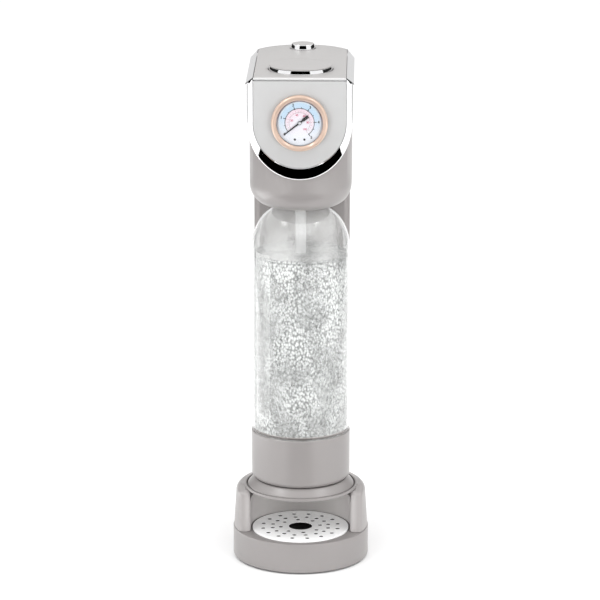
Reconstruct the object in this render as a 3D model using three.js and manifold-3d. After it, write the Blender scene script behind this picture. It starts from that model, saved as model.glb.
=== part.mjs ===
// A sparkling water maker: a drum base with a drip tray, a sprung bottle rest, a column that hides the gas
// cylinder, and a head with a push button, a vent button and a pressure gauge.
// Millimetres, +Z up, the front faces -Y. The pieces are laid out about the bottle's upright axis, and the
// whole machine is then moved so that the origin lies under the middle of its box.
import * as THREE from 'three';
import { mergeVertices } from 'three/addons/utils/BufferGeometryUtils.js';
import Module from 'manifold-3d';

const wasm = await Module();
wasm.setup();

// Clearances, walls and common small sizes
const gap = 0.3;
const slideGap = 0.6;
const overrun = 4;
const shellWall = 2.4;
const roundSides = 28;
const smallSides = 10;
const midSides = 24;
const holeSides = 6;

// Bottle, from which the machine's width follows
const bottleRadius = 43.5;
const bottleWall = 1.8;
const bottleStraight = 168;
const cupHeight = 44.2;
const cupWall = 2;
const cupRound = 6;
const domeHeight = 40;
const neckRadius = 15;
const neckLength = 17;
const neckRing = 2;
const neckRingHeight = 2.5;

// Feet, bottom plate and lower drum
const footHeight = 2.2;
const footRingInset = 10.8;
const footRingWidth = 8;
const rearPadRadius = 7;
const plateThickness = 2.5;
const skirtLift = 1.2;
const baseTop = 28;
const baseEdgeRound = 1.6;

// Drip tray
const trayRim = 6;
const grateInset = 1.6;
const grateThickness = 1.5;
const grateProud = 0.8;
const fingerHoleRadius = 10.4;
const drainHoleRadius = 1.9;
const drainRings = [
  { radiusShare: 0.7907, count: 16, turnShare: 0.5 },
  { radiusShare: 0.5884, count: 16, turnShare: 0.5 },
  { radiusShare: 0.414, count: 8, turnShare: 0.2 },
];
const panDepth = 8.5;
const panWall = 1.5;

// Upper drum
const drumHeight = 39;
const drumStep = 0.7;
const drumTaper = 1.8;
const drumRound = 7;
const lipThickness = 2.5;
const lipWidth = 2;
const lipStep = 0.5;
const alcoveInset = 3.9;
const jambRound = 5;
const backSlotWidth = 32;

// Bottle rest
const restOverhang = 4.1;
const restRise = 6.5;
const restConeSpread = 6.1;
const restSkirt = 3;
const restTravel = 9;
const restPostInset = 3.3;
const restPostTurn = 49.1;
const restPostRadius = 3;
const restSpringRadius = 3.2;
const restSpringWire = 1;
const restSpringCurls = 5;

// Column
const columnInset = 1.9;
const columnClearance = 5.8;
const columnCorner = 6;

// Gas cylinder
const cylinderRadius = 30;
const cylinderShoulderDrop = 43.3;
const cylinderShoulderWidth = 18;
const cylinderBottomRound = 5;
const cylinderWall = 3;
const cylinderShoulderTurn = 80;
const padThickness = 4;
const shelfPlateDrop = 14;
const shelfPlateThickness = 4;
const valveCollarStep = 1.5;
const valveCollarHeight = 8;
const valveThreadStep = 1.2;
const valveThreadHeight = 14;

// Head casing
const headOverhang = 1.2;
const headHeight = 94.9;
const collarHeight = 19;
const collarMargin = 8;
const plateInset = 4.8;
const plateProud = 3.3;
const frontPlateThickness = 2;
const topPlateRise = 6.3;
const topPlateThickness = 2.5;
const topPlateRearInset = 2;
const topPlateRearRise = 25;
const bezelOverhang = 0.5;
const bezelFoot = 11.1;
const bezelSlope = 2.6;
const bezelDepth = 5;
const wingOverhang = 1.9;
const wingDrop = 5.2;
const wingThickness = 1.5;

// Pressure gauge
const gaugeDrop = 39;
const gaugeCaseRadius = 21.6;
const gaugeCaseDepth = 20;
const gaugeCaseWall = 1.4;
const gaugeBezelWidth = 2.8;
const gaugeBezelProud = 5.2;
const gaugeDialThickness = 0.8;
const gaugeLensThickness = 0.8;
const needleShortfall = 2.6;
const needleTail = 9.4;
const needleTailWidth = 2.6;
const needleThickness = 0.8;
const needleHubRadius = 1.7;
const needleArborRadius = 0.9;
const needleRestAngle = 218;
const bourdonInset = 6.9;
const bourdonTube = 1.5;
const bourdonStart = -80;
const bourdonEnd = 170;
const bourdonStep = 25;
const gaugePipeRadius = 2.6;

// Gas block above the bottle
const blockWall = 2;
const blockDrop = 8;
const blockSkirt = 13.5;
const neckClearance = 1;
const blockFlangeWidth = 6;
const blockFlangeThickness = 4;
const sealThickness = 2.7;
const nozzleRadius = 5;
const nozzleWall = 1.2;
const nozzleReach = 72;
const tipRadius = 3.5;
const tipLength = 17;
const reliefRadius = 5;
const reliefClearance = 6.3;

// Valve block above the gas cylinder
const valveBlockWall = 3.9;
const valveBlockDrop = 6;
const pinRadius = 1.9;
const pinHeadRadius = 3.2;
const pinHeadHeight = 3.7;
const hoseRadius = 3;
const ventHoseRadius = 2.2;
const hoseShares = [0, 0.1, 0.5, 0.9, 1];

// Lever between the button and the valve pin
const leverDepth = 52.5;
const leverThickness = 6;
const leverHalfWidth = 7;
const leverPivotInset = 4.9;
const leverEyeRadius = 5.5;
const leverPinRadius = 2.3;
const bracketThickness = 2.5;

// Push button
const buttonOffset = 5;
const buttonRadius = 28;
const buttonRingWidth = 2.2;
const buttonProud = 4.1;
const buttonRingHeight = 4.4;
const buttonStemRadius = 4;
const buttonTravel = 6;
const buttonWellDepth = 17.7;
const buttonSpringRadius = 9.5;
const buttonSpringCurls = 3;
const springWire = 1.2;

// Vent button
const ventInset = 18;
const ventRadius = 10.9;
const ventProud = 4.5;
const ventStemRadius = 2.4;
const ventStemReach = 8;
const ventTravel = 3;
const ventWellDepth = 18;
const ventSpringRadius = 6.5;
const ventSpringCurls = 3;

// Screws
const screwRadius = 1.7;
const screwHeadRadius = 3.4;
const screwHeadHeight = 1.6;
const screwLength = 16;
const bossRadius = 6.2;
const baseBossInset = 11.5;
const baseBossY = 20;

// Widths that follow from the bottle's
const cupRadius = bottleRadius + gap;
const sleeveRadius = cupRadius - cupWall - gap;
const restRadius = bottleRadius + restOverhang;
const restTopRadius = restRadius - restConeSpread;
const restPostCircle = restRadius - restPostInset;
const lipRadius = restRadius + slideGap + gap;
const drumShoulderRadius = lipRadius + lipWidth + lipStep + drumRound;
const drumFootRadius = drumShoulderRadius + drumTaper;
const baseRadius = drumFootRadius + drumStep;
const plateRadius = baseRadius - shellWall - gap;
const footRingRadius = plateRadius - footRingInset;
const baseBossX = baseRadius - baseBossInset;
const alcoveRadius = lipRadius - alcoveInset;
const grateRadius = alcoveRadius - grateInset;
const panRadius = grateRadius + gap;
const wellRadius = panRadius + slideGap;
const trayOffset = baseRadius - wellRadius - trayRim;
const headRadius = bottleRadius + headOverhang;
const plateHalfWidth = headRadius - plateInset;
const plateFace = headRadius + plateProud;
const bezelHalfWidth = headRadius + bezelOverhang;
const bezelDrop = plateHalfWidth + bezelFoot;
const bezelEdge = plateFace - bezelSlope;
const wingHalfWidth = headRadius + wingOverhang;
const columnHalfWidth = headRadius - columnInset;
const columnFront = bottleRadius + columnClearance;
const cylinderNeckRadius = cylinderRadius - cylinderShoulderWidth;
const valveCollarRadius = cylinderNeckRadius + valveCollarStep;
const valveThreadRadius = cylinderNeckRadius - valveThreadStep;
const valveBlockRadius = valveCollarRadius + slideGap + valveBlockWall;
const blockBoreRadius = neckRadius + neckRing + neckClearance;
const blockRadius = blockBoreRadius + blockWall;
const collarOpening = blockRadius + collarMargin;
const reliefEnd = headRadius - shellWall - reliefClearance;
const gaugeBezelRadius = gaugeCaseRadius + gaugeBezelWidth;
const gaugeDialRadius = gaugeCaseRadius - gaugeCaseWall - gap;
const needleLength = gaugeDialRadius - needleShortfall;
const bourdonRadius = gaugeDialRadius - bourdonInset;

// Places from front to back
const cylinderOffset = columnFront + shellWall + gap + cylinderRadius;
const machineBack = cylinderOffset + cylinderRadius + slideGap + shellWall;
const columnBackCentre = machineBack - columnHalfWidth;
const columnBossX = columnHalfWidth - shellWall - bossRadius + slideGap + slideGap;
const columnBossY = columnFront + shellWall + bossRadius - slideGap - slideGap;
const topPlateBack = machineBack - topPlateRearInset;
const topPlateCorner = topPlateBack - topPlateRearRise;
const trimBack = machineBack + wingHalfWidth - headRadius;
const ventOffset = topPlateBack - ventInset;
const leverFront = buttonOffset + buttonStemRadius + slideGap;
const bracketFront = cylinderOffset + valveBlockRadius + slideGap;
const leverPivotOffset = bracketFront + leverPivotInset;
const bracketBack = leverPivotOffset + leverPinRadius + bracketThickness;

// Heights from the feet to the top plate
const plateBottom = footHeight + gap;
const plateTop = plateBottom + plateThickness;
const grateTop = baseTop + grateProud;
const grateBottom = grateTop - grateThickness;
const panTop = grateBottom - gap;
const panBottom = panTop - panDepth;
const wellFloor = panBottom - gap;
const drumBottom = baseTop + gap;
const lipHeight = baseTop + drumHeight;
const drumShoulder = lipHeight - drumRound;
const lipBottom = lipHeight - lipThickness;
const restTopHeight = lipHeight + restRise;
const restConeBottom = lipHeight;
const restBottom = restConeBottom - restSkirt;
const shelfHeight = restBottom - restTravel - slideGap - gap;
const restSpringSolid = (restSpringCurls + 1) * restSpringWire;
const restPostEnd = plateTop + gap + restTravel + restSpringSolid + slideGap;
const cupBottom = restTopHeight + gap;
const cupTop = cupBottom + cupHeight;
const bottleBottom = cupBottom + cupWall + gap;
const domeBottom = cupTop + bottleStraight;
const neckTop = domeBottom + domeHeight + neckLength;
const headBottom = neckTop + gap;
const collarBottom = neckTop - collarHeight;
const columnTop = headBottom - gap;
const headFloor = headBottom + shellWall;
const headTop = headBottom + headHeight;
const topPlateHeight = headTop + topPlateRise;
const topPlateUnderside = topPlateHeight - topPlateThickness;
const wingEdgeHeight = topPlateHeight - wingDrop;
const gaugeHeight = topPlateHeight - gaugeDrop;
const capUnderside = topPlateHeight - topPlateThickness - slideGap;
const ventStemEnd = topPlateUnderside - ventWellDepth - ventStemReach;
const leverBottom = topPlateHeight - leverDepth;
const leverAxisHeight = leverBottom + leverThickness / 2;
const bracketTop = leverAxisHeight + leverEyeRadius;
const cylinderBottom = plateTop + padThickness + gap + gap;
const cylinderTop = headBottom - gap;
const cylinderShoulder = headBottom - cylinderShoulderDrop;
const shelfPlateHeight = cylinderShoulder - shelfPlateDrop;
const valveBottom = headBottom;
const threadBottom = valveBottom + valveCollarHeight;
const threadTop = threadBottom + valveThreadHeight;
const valveBlockBore = threadTop + slideGap + slideGap;
const valveBlockTop = leverBottom - valveBlockDrop;
const pinBottom = threadTop + slideGap + slideGap + gap;
const pinTop = leverBottom - gap;
const blockFlangeBottom = headFloor + gap;
const blockBottom = neckTop - blockSkirt;
const blockTop = leverBottom - blockDrop;
const sealBottom = neckTop + gap;
const sealTop = sealBottom + sealThickness;
const boreTop = sealTop + gap;
const tubeTop = boreTop + nozzleRadius + nozzleRadius;
const nozzleBottom = neckTop - nozzleReach;
const tipBottom = nozzleBottom - tipLength;
const reliefHeight = (blockFlangeBottom + blockFlangeThickness + blockTop) / 2;
const hoseHeight = (headFloor + blockTop) / 2;

// Profiles, outlines and solids

// A profile's points along an arc in the plane of radius and height, angles in degrees.
function arcPoints(centreRadius, centreHeight, radius, from, to, steps, radiusUp = radius) {
  const points = [];
  for (let i = 0; i <= steps; i++) {
    const angle = THREE.MathUtils.degToRad(from + ((to - from) * i) / steps);
    const x = centreRadius + radius * Math.cos(angle);
    points.push([x, centreHeight + radiusUp * Math.sin(angle)]);
  }
  return points;
}

// A closed three.js geometry as a solid that can be joined and cut.
function solidOf(geometry) {
  const bare = new THREE.BufferGeometry();
  const source = geometry.index ? geometry.toNonIndexed() : geometry;
  bare.setAttribute('position', source.getAttribute('position').clone());
  const merged = mergeVertices(bare, 1e-4);
  const index = merged.index.array;
  const triangles = [];
  for (let i = 0; i < index.length; i += 3) {
    const [a, b, c] = [index[i], index[i + 1], index[i + 2]];
    if (a !== b && b !== c && c !== a) triangles.push(a, b, c);
  }
  const mesh = new wasm.Mesh({
    numProp: 3,
    vertProperties: merged.attributes.position.array,
    triVerts: new Uint32Array(triangles),
  });
  return new wasm.Manifold(mesh);
}

// A solid as a geometry for a mesh.
function geometryOf(solid) {
  const mesh = solid.getMesh();
  const geometry = new THREE.BufferGeometry();
  geometry.setAttribute('position', new THREE.BufferAttribute(mesh.vertProperties, 3));
  geometry.setIndex(new THREE.BufferAttribute(mesh.triVerts, 1));
  geometry.computeVertexNormals();
  return geometry;
}

// A solid turned about +Z from [radius, height] points. A profile off the axis is closed on itself.
function turned(profile, sides = roundSides) {
  const points = profile.map(([radius, height]) => new THREE.Vector2(radius, height));
  if (THREE.ShapeUtils.area(points) < 0) points.reverse();
  const onAxis = points.findIndex((point) => point.x === 0);
  if (onAxis < 0) {
    points.push(points[0].clone());
  } else {
    // Start at the lower of the two points on the axis, so that the outline ends on the axis too.
    const lowest = points.reduce((best, p, i) => (p.x === 0 && p.y < points[best].y ? i : best), onAxis);
    points.push(...points.splice(0, lowest));
  }
  const geometry = new THREE.LatheGeometry(points, sides);
  geometry.rotateX(Math.PI / 2);
  return solidOf(geometry);
}

// A round bar from one height to another.
function bar(radius, from, to, sides = smallSides) {
  return turned([[0, from], [radius, from], [radius, to], [0, to]], sides);
}

// A ring from one height to another.
function ring(inner, outer, from, to, sides = roundSides) {
  return turned([[inner, from], [outer, from], [outer, to], [inner, to]], sides);
}

// An outline in the plane of X and Y, raised from one height to another.
function raised(outline, from, to, curveSides = smallSides) {
  const options = { depth: to - from, bevelEnabled: false, curveSegments: curveSides };
  const geometry = new THREE.ExtrudeGeometry(outline, options);
  geometry.translate(0, 0, from);
  return solidOf(geometry);
}

// An outline in the plane of X and Z, drawn out along Y from the front to the back.
function drawnBack(outline, front, back, curveSides = smallSides) {
  const options = { depth: back - front, bevelEnabled: false, curveSegments: curveSides };
  const geometry = new THREE.ExtrudeGeometry(outline, options);
  geometry.rotateX(Math.PI / 2);
  geometry.translate(0, back, 0);
  return solidOf(geometry);
}

// A box given by its limits along each axis.
function block(x0, x1, y0, y1, z0, z1) {
  const geometry = new THREE.BoxGeometry(x1 - x0, y1 - y0, z1 - z0);
  geometry.translate((x0 + x1) / 2, (y0 + y1) / 2, (z0 + z1) / 2);
  return solidOf(geometry);
}

// A round bar along a curve.
function tube(curve, radius, steps, sides) {
  const section = new THREE.Shape().absarc(0, 0, radius, 0, Math.PI * 2, false);
  const options = { steps, extrudePath: curve, curveSegments: sides };
  return solidOf(new THREE.ExtrudeGeometry(section, options));
}

// A closed skin over loops of points, each loop convex and with as many points.
function skin(loops) {
  const count = loops[0].length;
  const positions = loops.flat().flatMap((point) => [point.x, point.y, point.z]);
  const index = [];
  for (let k = 0; k + 1 < loops.length; k++) {
    for (let i = 0; i < count; i++) {
      const [a, b] = [k * count + i, k * count + ((i + 1) % count)];
      index.push(a, b, b + count, a, b + count, a + count);
    }
  }
  const last = (loops.length - 1) * count;
  for (let i = 1; i + 1 < count; i++) {
    index.push(0, i + 1, i, last, last + i, last + i + 1);
  }
  const geometry = new THREE.BufferGeometry();
  geometry.setAttribute('position', new THREE.Float32BufferAttribute(positions, 3));
  geometry.setIndex(index);
  const solid = solidOf(geometry);
  if (solid.volume() > 0) return solid;
  for (let i = 0; i < index.length; i += 3) {
    [index[i], index[i + 1]] = [index[i + 1], index[i]];
  }
  geometry.setIndex(index);
  return solidOf(geometry);
}

// A helical spring between two heights. Its end curls lie half a wire inside them.
function coilSpring(meanRadius, wire, from, to, curls) {
  const [stepsPerCurl, sides] = [8, 5];
  const half = wire / 2;
  const rise = to - from - wire;
  const loops = [];
  for (let i = 0; i <= curls * stepsPerCurl; i++) {
    const turn = (i / stepsPerCurl) * Math.PI * 2;
    const height = from + half + (rise * i) / (curls * stepsPerCurl);
    const loop = [];
    for (let k = 0; k < sides; k++) {
      const angle = (k / sides) * Math.PI * 2;
      const radius = meanRadius + half * Math.cos(angle);
      const lift = half * Math.sin(angle);
      loop.push(new THREE.Vector3(radius * Math.cos(turn), radius * Math.sin(turn), height + lift));
    }
    loops.push(loop);
  }
  console.log('spring gap between curls', (rise / curls - wire).toFixed(2), 'mm');
  return skin(loops);
}

// A D-shaped outline: a flat front with round corners and a half-round back. It can be grown.
function columnOutline(grow) {
  const w = columnHalfWidth + grow;
  const front = columnFront - grow;
  const corner = Math.max(columnCorner + grow, gap);
  const shape = new THREE.Shape();
  shape.absarc(0, columnBackCentre, w, 0, Math.PI, false);
  shape.absarc(-w + corner, front + corner, corner, Math.PI, Math.PI * 1.5, false);
  shape.absarc(w - corner, front + corner, corner, Math.PI * 1.5, Math.PI * 2, false);
  return shape;
}

// The head's outline from above: round in front about the bottle's axis, half an ellipse behind.
function headOutline(grow) {
  const w = headRadius + grow;
  const back = machineBack - columnBackCentre + grow;
  const shape = new THREE.Shape();
  shape.absellipse(0, columnBackCentre, w, back, 0, Math.PI, false, 0);
  shape.absarc(0, 0, w, Math.PI, Math.PI * 2, false);
  return shape;
}

// The head's outline from the front: straight sides and a round lower end about the gauge.
function frontOutline(halfWidth, drop, top) {
  const shape = new THREE.Shape();
  shape.moveTo(halfWidth, top);
  shape.lineTo(-halfWidth, top);
  shape.absellipse(0, gaugeHeight, halfWidth, drop, Math.PI, Math.PI * 2, false, 0);
  return shape;
}

// The alcove's outline from above: half round behind the tray, open to the front with rounded jambs.
function alcoveOutline(grow) {
  const radius = alcoveRadius + grow;
  const reach = baseRadius + overrun;
  const jambY = -Math.sqrt(drumFootRadius ** 2 - alcoveRadius ** 2) + jambRound / 2;
  const shape = new THREE.Shape();
  shape.absarc(0, -trayOffset, radius, 0, Math.PI, false);
  shape.lineTo(-radius, jambY);
  shape.lineTo(-radius - jambRound / 4, jambY - jambRound / 2);
  shape.lineTo(-radius - jambRound, jambY - jambRound);
  shape.lineTo(-radius - jambRound, -reach);
  shape.lineTo(radius + jambRound, -reach);
  shape.lineTo(radius + jambRound, jambY - jambRound);
  shape.lineTo(radius + jambRound / 4, jambY - jambRound / 2);
  shape.lineTo(radius, jambY);
  return shape;
}

// The top plate's outline from above.
function topOutline() {
  const back = topBackArc();
  const shape = new THREE.Shape();
  shape.moveTo(-plateHalfWidth, -plateFace);
  shape.lineTo(plateHalfWidth, -plateFace);
  shape.absarc(0, back.centre, back.radius, back.angle, Math.PI - back.angle, false);
  return shape;
}

// The arc through the top plate's two back corners and its furthest point.
function topBackArc() {
  const rise = topPlateBack - topPlateCorner;
  const radius = (plateHalfWidth ** 2 + rise ** 2) / (2 * rise);
  const centre = topPlateBack - radius;
  return { radius, centre, angle: Math.atan2(topPlateCorner - centre, plateHalfWidth) };
}

// Materials

function finish(color, roughness, metalness, opacity = 1) {
  return new THREE.MeshStandardMaterial({
    color,
    roughness,
    metalness,
    opacity,
    transparent: opacity < 1,
  });
}

const bodyPaint = finish(0xb8b3b2, 0.45, 0.1);
const satinSilver = finish(0xd7d7d7, 0.4, 0.3);
const polishedChrome = finish(0xe8e8ea, 0.06, 1);
const copperMetal = finish(0xe1b496, 0.22, 1);
const whiteEnamel = finish(0xf6f6f6, 0.35, 0);
const clearPlastic = finish(0xeef3f2, 0.05, 0, 0.3);
const clearGlass = finish(0xffffff, 0.03, 0, 0.2);
const blackPlastic = finish(0x2b2b2d, 0.5, 0);
const greyPlastic = finish(0x8c8c8f, 0.55, 0);
const softRubber = finish(0x1e1e20, 0.8, 0);
const brassMetal = finish(0xc9a45a, 0.3, 1);
const steelMetal = finish(0xb5b7ba, 0.3, 1);
const cylinderPaint = finish(0xc4c8cc, 0.35, 0.4);

const machine = new THREE.Group();
machine.position.set(0, (baseRadius - trimBack) / 2, 0);

// A group at a place, inside the machine.
function groupAt(x, y, z) {
  const group = new THREE.Group();
  group.position.set(x, y, z);
  machine.add(group);
  return group;
}

function addPiece(group, name, solid, material) {
  const mesh = new THREE.Mesh(geometryOf(solid), material);
  mesh.name = name;
  group.add(mesh);
  return mesh;
}

// Base

function makeFootRing() {
  return ring(footRingRadius - footRingWidth, footRingRadius, 0, footHeight);
}

function makeRearPad() {
  return bar(rearPadRadius, 0, footHeight);
}

function screwPlaces() {
  const base = [-baseBossX, baseBossX].map((x) => [x, baseBossY]);
  const column = [-columnBossX, columnBossX].map((x) => [x, columnBossY]);
  return [...base, ...column];
}

function makeBasePlate(grow = 0) {
  const disc = bar(plateRadius + grow, plateBottom - grow, plateTop + grow, roundSides);
  const tail = raised(columnOutline(grow - shellWall - gap), plateBottom - grow, plateTop + grow);
  let plate = disc.add(tail);
  if (grow > 0) return plate;
  for (const [x, y] of screwPlaces()) {
    const hole = bar(screwRadius + gap, plateBottom - overrun, plateTop + overrun);
    const sink = bar(screwHeadRadius + gap, plateBottom - overrun, plateBottom + screwHeadHeight + gap);
    plate = plate.subtract(hole.add(sink).translate(x, y, 0));
  }
  return plate;
}

function makeBaseScrew() {
  const head = bar(screwHeadRadius, plateBottom, plateBottom + screwHeadHeight);
  return head.add(bar(screwRadius, plateBottom, plateBottom + screwLength));
}

function boss(top) {
  const post = bar(bossRadius, plateTop + gap, top);
  return post.subtract(bar(screwRadius + gap, plateTop - overrun, plateBottom + screwLength + gap));
}

// The places of the rest's two posts.
function postPlaces() {
  const turn = THREE.MathUtils.degToRad(restPostTurn);
  const [x, y] = [restPostCircle * Math.cos(turn), restPostCircle * Math.sin(turn)];
  return [-x, x].map((side) => [side, y]);
}

function makeBasePan() {
  const inner = baseRadius - shellWall;
  const deckBottom = baseTop - shellWall;
  const outer = turned([
    [0, skirtLift],
    [baseRadius - baseEdgeRound, skirtLift],
    [baseRadius, skirtLift + baseEdgeRound],
    [baseRadius, baseTop],
    [0, baseTop],
  ]);
  const well = bar(wellRadius + shellWall, wellFloor - shellWall, baseTop, roundSides);
  const hollow = bar(inner, -overrun, deckBottom, roundSides).subtract(well.translate(0, -trayOffset, 0));
  const wellSpace = bar(wellRadius, wellFloor, baseTop + overrun, roundSides);
  let pan = outer.subtract(hollow).subtract(wellSpace.translate(0, -trayOffset, 0));
  for (const x of [-baseBossX, baseBossX]) {
    pan = pan.add(boss(deckBottom + shellWall / 2).translate(x, baseBossY, 0));
  }
  for (const [x, y] of postPlaces()) {
    const springHole = bar(restSpringRadius + restSpringWire, wellFloor, baseTop + overrun);
    pan = pan.subtract(springHole.translate(x, y, 0));
  }
  return pan.subtract(raised(columnOutline(gap), -overrun, baseTop + overrun));
}

// Upper drum: an outer wall, a bore for the rest, a low wall round the tray and the front window.
function drumProfile(inset) {
  const round = drumRound;
  const shoulder = drumShoulderRadius - inset;
  const arc = arcPoints(shoulder - round, drumShoulder - inset, round, 0, 90, 4);
  return [[0, drumBottom], [drumFootRadius - inset, drumBottom], ...arc, [0, lipHeight - inset]];
}

function makeDrumShell() {
  const outer = turned(drumProfile(0));
  const boreWall = bar(lipRadius + shellWall, shelfHeight - shellWall, lipHeight, roundSides);
  const alcoveWall = raised(alcoveOutline(shellWall), -overrun, lipHeight);
  const below = bar(drumFootRadius - shellWall, drumBottom - overrun, drumBottom + gap, roundSides);
  const hollow = turned(drumProfile(shellWall)).add(below).subtract(boreWall).subtract(alcoveWall);
  let drum = outer.subtract(hollow);
  drum = drum.subtract(bar(lipRadius, shelfHeight, lipHeight + overrun, roundSides));
  drum = drum.subtract(raised(alcoveOutline(0), baseTop - overrun, lipBottom));
  const window = raised(alcoveOutline(0), baseTop - overrun, lipHeight + overrun);
  drum = drum.subtract(window.subtract(bar(lipRadius + lipWidth, 0, lipHeight + overrun, roundSides)));
  drum = drum.subtract(raised(columnOutline(gap), baseTop, lipHeight + overrun));
  const halfSlot = backSlotWidth / 2;
  const slotBack = columnFront + overrun;
  drum = drum.subtract(block(-halfSlot, halfSlot, 0, slotBack, shelfHeight, lipHeight + overrun));
  for (const [x, y] of postPlaces()) {
    const hole = bar(restPostRadius + slideGap, baseTop, shelfHeight + overrun);
    drum = drum.subtract(hole.translate(x, y, 0));
  }
  return drum;
}

// Bottle rest: a hollow cone with a skirt, a drain in the middle and two guide posts.
function makeBottleRest() {
  let rest = turned([
    [fingerHoleRadius, restTopHeight],
    [restTopRadius, restTopHeight],
    [restRadius, restConeBottom],
    [restRadius, restBottom],
    [restRadius - shellWall, restBottom],
    [restRadius - shellWall, restConeBottom - shellWall / 2],
    [restTopRadius - shellWall / 2, restTopHeight - shellWall],
    [fingerHoleRadius, restTopHeight - shellWall],
  ]);
  for (const [x, y] of postPlaces()) {
    rest = rest.add(bar(restPostRadius, restPostEnd, restConeBottom).translate(x, y, 0));
  }
  return rest;
}

function makeRestSpring() {
  const top = restPostEnd - gap;
  return coilSpring(restSpringRadius, restSpringWire, plateTop + gap, top, restSpringCurls);
}

// Drip tray
function makeTrayPan() {
  return turned([
    [0, panBottom],
    [panRadius, panBottom],
    [panRadius, panTop],
    [panRadius - panWall, panTop],
    [panRadius - panWall, panBottom + panWall],
    [0, panBottom + panWall],
  ]);
}

function makeDripGrate() {
  const holeBottom = grateBottom - overrun;
  const holeTop = grateTop + overrun;
  let grate = ring(fingerHoleRadius, grateRadius, grateBottom, grateTop);
  const holes = [];
  for (const { radiusShare, count, turnShare } of drainRings) {
    const radius = grateRadius * radiusShare;
    for (let i = 0; i < count; i++) {
      const angle = ((i + turnShare) / count) * Math.PI * 2;
      const hole = bar(drainHoleRadius, holeBottom, holeTop, holeSides);
      holes.push(hole.translate(radius * Math.cos(angle), radius * Math.sin(angle), 0));
    }
  }
  for (const hole of holes) grate = grate.subtract(hole);
  return grate;
}

function addBase() {
  const base = groupAt(0, 0, 0);
  addPiece(base, 'foot_ring', makeFootRing(), softRubber);
  const pad = addPiece(base, 'rear_foot', makeRearPad(), softRubber);
  pad.position.set(0, machineBack - shellWall - rearPadRadius - slideGap, 0);
  addPiece(base, 'base_plate', makeBasePlate(), blackPlastic);
  screwPlaces().forEach(([x, y], i) => {
    addPiece(base, `base_screw_${i + 1}`, makeBaseScrew(), steelMetal).position.set(x, y, 0);
  });
  addPiece(base, 'base_pan', makeBasePan(), bodyPaint);
  addPiece(base, 'drum_shell', makeDrumShell(), bodyPaint);
  const tray = groupAt(0, -trayOffset, 0);
  addPiece(tray, 'tray_pan', makeTrayPan(), bodyPaint);
  addPiece(tray, 'drip_grate', makeDripGrate(), whiteEnamel);
  const rest = groupAt(0, 0, 0);
  addPiece(rest, 'bottle_rest', makeBottleRest(), bodyPaint);
  postPlaces().forEach(([x, y], i) => {
    addPiece(rest, `rest_spring_${i + 1}`, makeRestSpring(), steelMetal).position.set(x, y, 0);
  });
}

// Column and gas cylinder

function columnShell() {
  const outer = raised(columnOutline(0), skirtLift, columnTop);
  return outer.subtract(raised(columnOutline(-shellWall), skirtLift - overrun, columnTop + overrun));
}

function makeColumnFrame() {
  const reach = machineBack + overrun;
  const behind = block(-reach, reach, columnBackCentre, reach, -overrun, columnTop + overrun);
  let frame = columnShell();
  for (const x of [-columnBossX, columnBossX]) {
    const lower = boss(plateTop + screwLength + screwLength);
    const upper = bar(bossRadius, columnTop - screwLength - screwLength, columnTop);
    const hole = bar(screwRadius + gap, columnTop - screwLength, columnTop + overrun);
    frame = frame.add(lower.translate(x, columnBossY, 0));
    frame = frame.add(upper.subtract(hole).translate(x, columnBossY, 0));
  }
  return frame.subtract(behind).subtract(makeBasePlate(gap));
}

function makeRearCover() {
  const reach = machineBack + overrun;
  const front = columnBackCentre + gap;
  return columnShell().subtract(block(-reach, reach, 0, front, -overrun, columnTop + overrun));
}

// One of two shelves beside the cylinder, which holds it upright in their round notch. side is -1 or 1.
function makeCylinderGuide(side) {
  const reach = columnHalfWidth + overrun;
  const top = shelfPlateHeight + shelfPlateThickness;
  const outline = raised(columnOutline(-shellWall - gap), shelfPlateHeight, top);
  const behind = block(-reach, reach, columnBackCentre, machineBack, 0, top + overrun);
  const [near, far] = side > 0 ? [-reach, cylinderNeckRadius] : [-cylinderNeckRadius, reach];
  const otherSide = block(near, far, 0, machineBack, 0, top + overrun);
  const notch = bar(cylinderRadius + slideGap, 0, top + overrun, roundSides);
  return outline.subtract(behind).subtract(otherSide).subtract(notch.translate(0, cylinderOffset, 0));
}

function makeCylinderPad() {
  return bar(cylinderRadius - slideGap, plateTop + gap, plateTop + gap + padThickness, roundSides);
}

// A steel bottle with a round shoulder, open through its neck.
function makeGasCylinder() {
  const floor = cylinderBottom + cylinderWall;
  const bore = cylinderNeckRadius - cylinderWall;
  const inner = cylinderRadius - cylinderWall;
  const round = cylinderBottomRound;
  const corner = arcPoints(cylinderRadius - round, cylinderBottom + round, round, -90, 0, 2);
  const spread = cylinderRadius - cylinderNeckRadius;
  const turn = cylinderShoulderTurn;
  const rise = cylinderRadius;
  const outerShoulder = arcPoints(cylinderNeckRadius, cylinderShoulder, spread, 0, turn, 4, rise);
  const innerShoulder = arcPoints(bore, cylinderShoulder, spread, turn, 0, 4, rise - cylinderWall);
  return turned([
    [0, cylinderBottom],
    ...corner,
    ...outerShoulder,
    [cylinderNeckRadius, cylinderShoulder + rise],
    [cylinderNeckRadius, cylinderTop],
    [bore, cylinderTop],
    [bore, cylinderShoulder + rise - cylinderWall],
    ...innerShoulder,
    [inner, floor],
    [0, floor],
  ]);
}

function makeCylinderValve() {
  return turned([
    [0, valveBottom],
    [valveCollarRadius, valveBottom],
    [valveCollarRadius, threadBottom],
    [valveThreadRadius, threadBottom],
    [valveThreadRadius, threadTop],
    [0, threadTop],
  ]);
}

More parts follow.
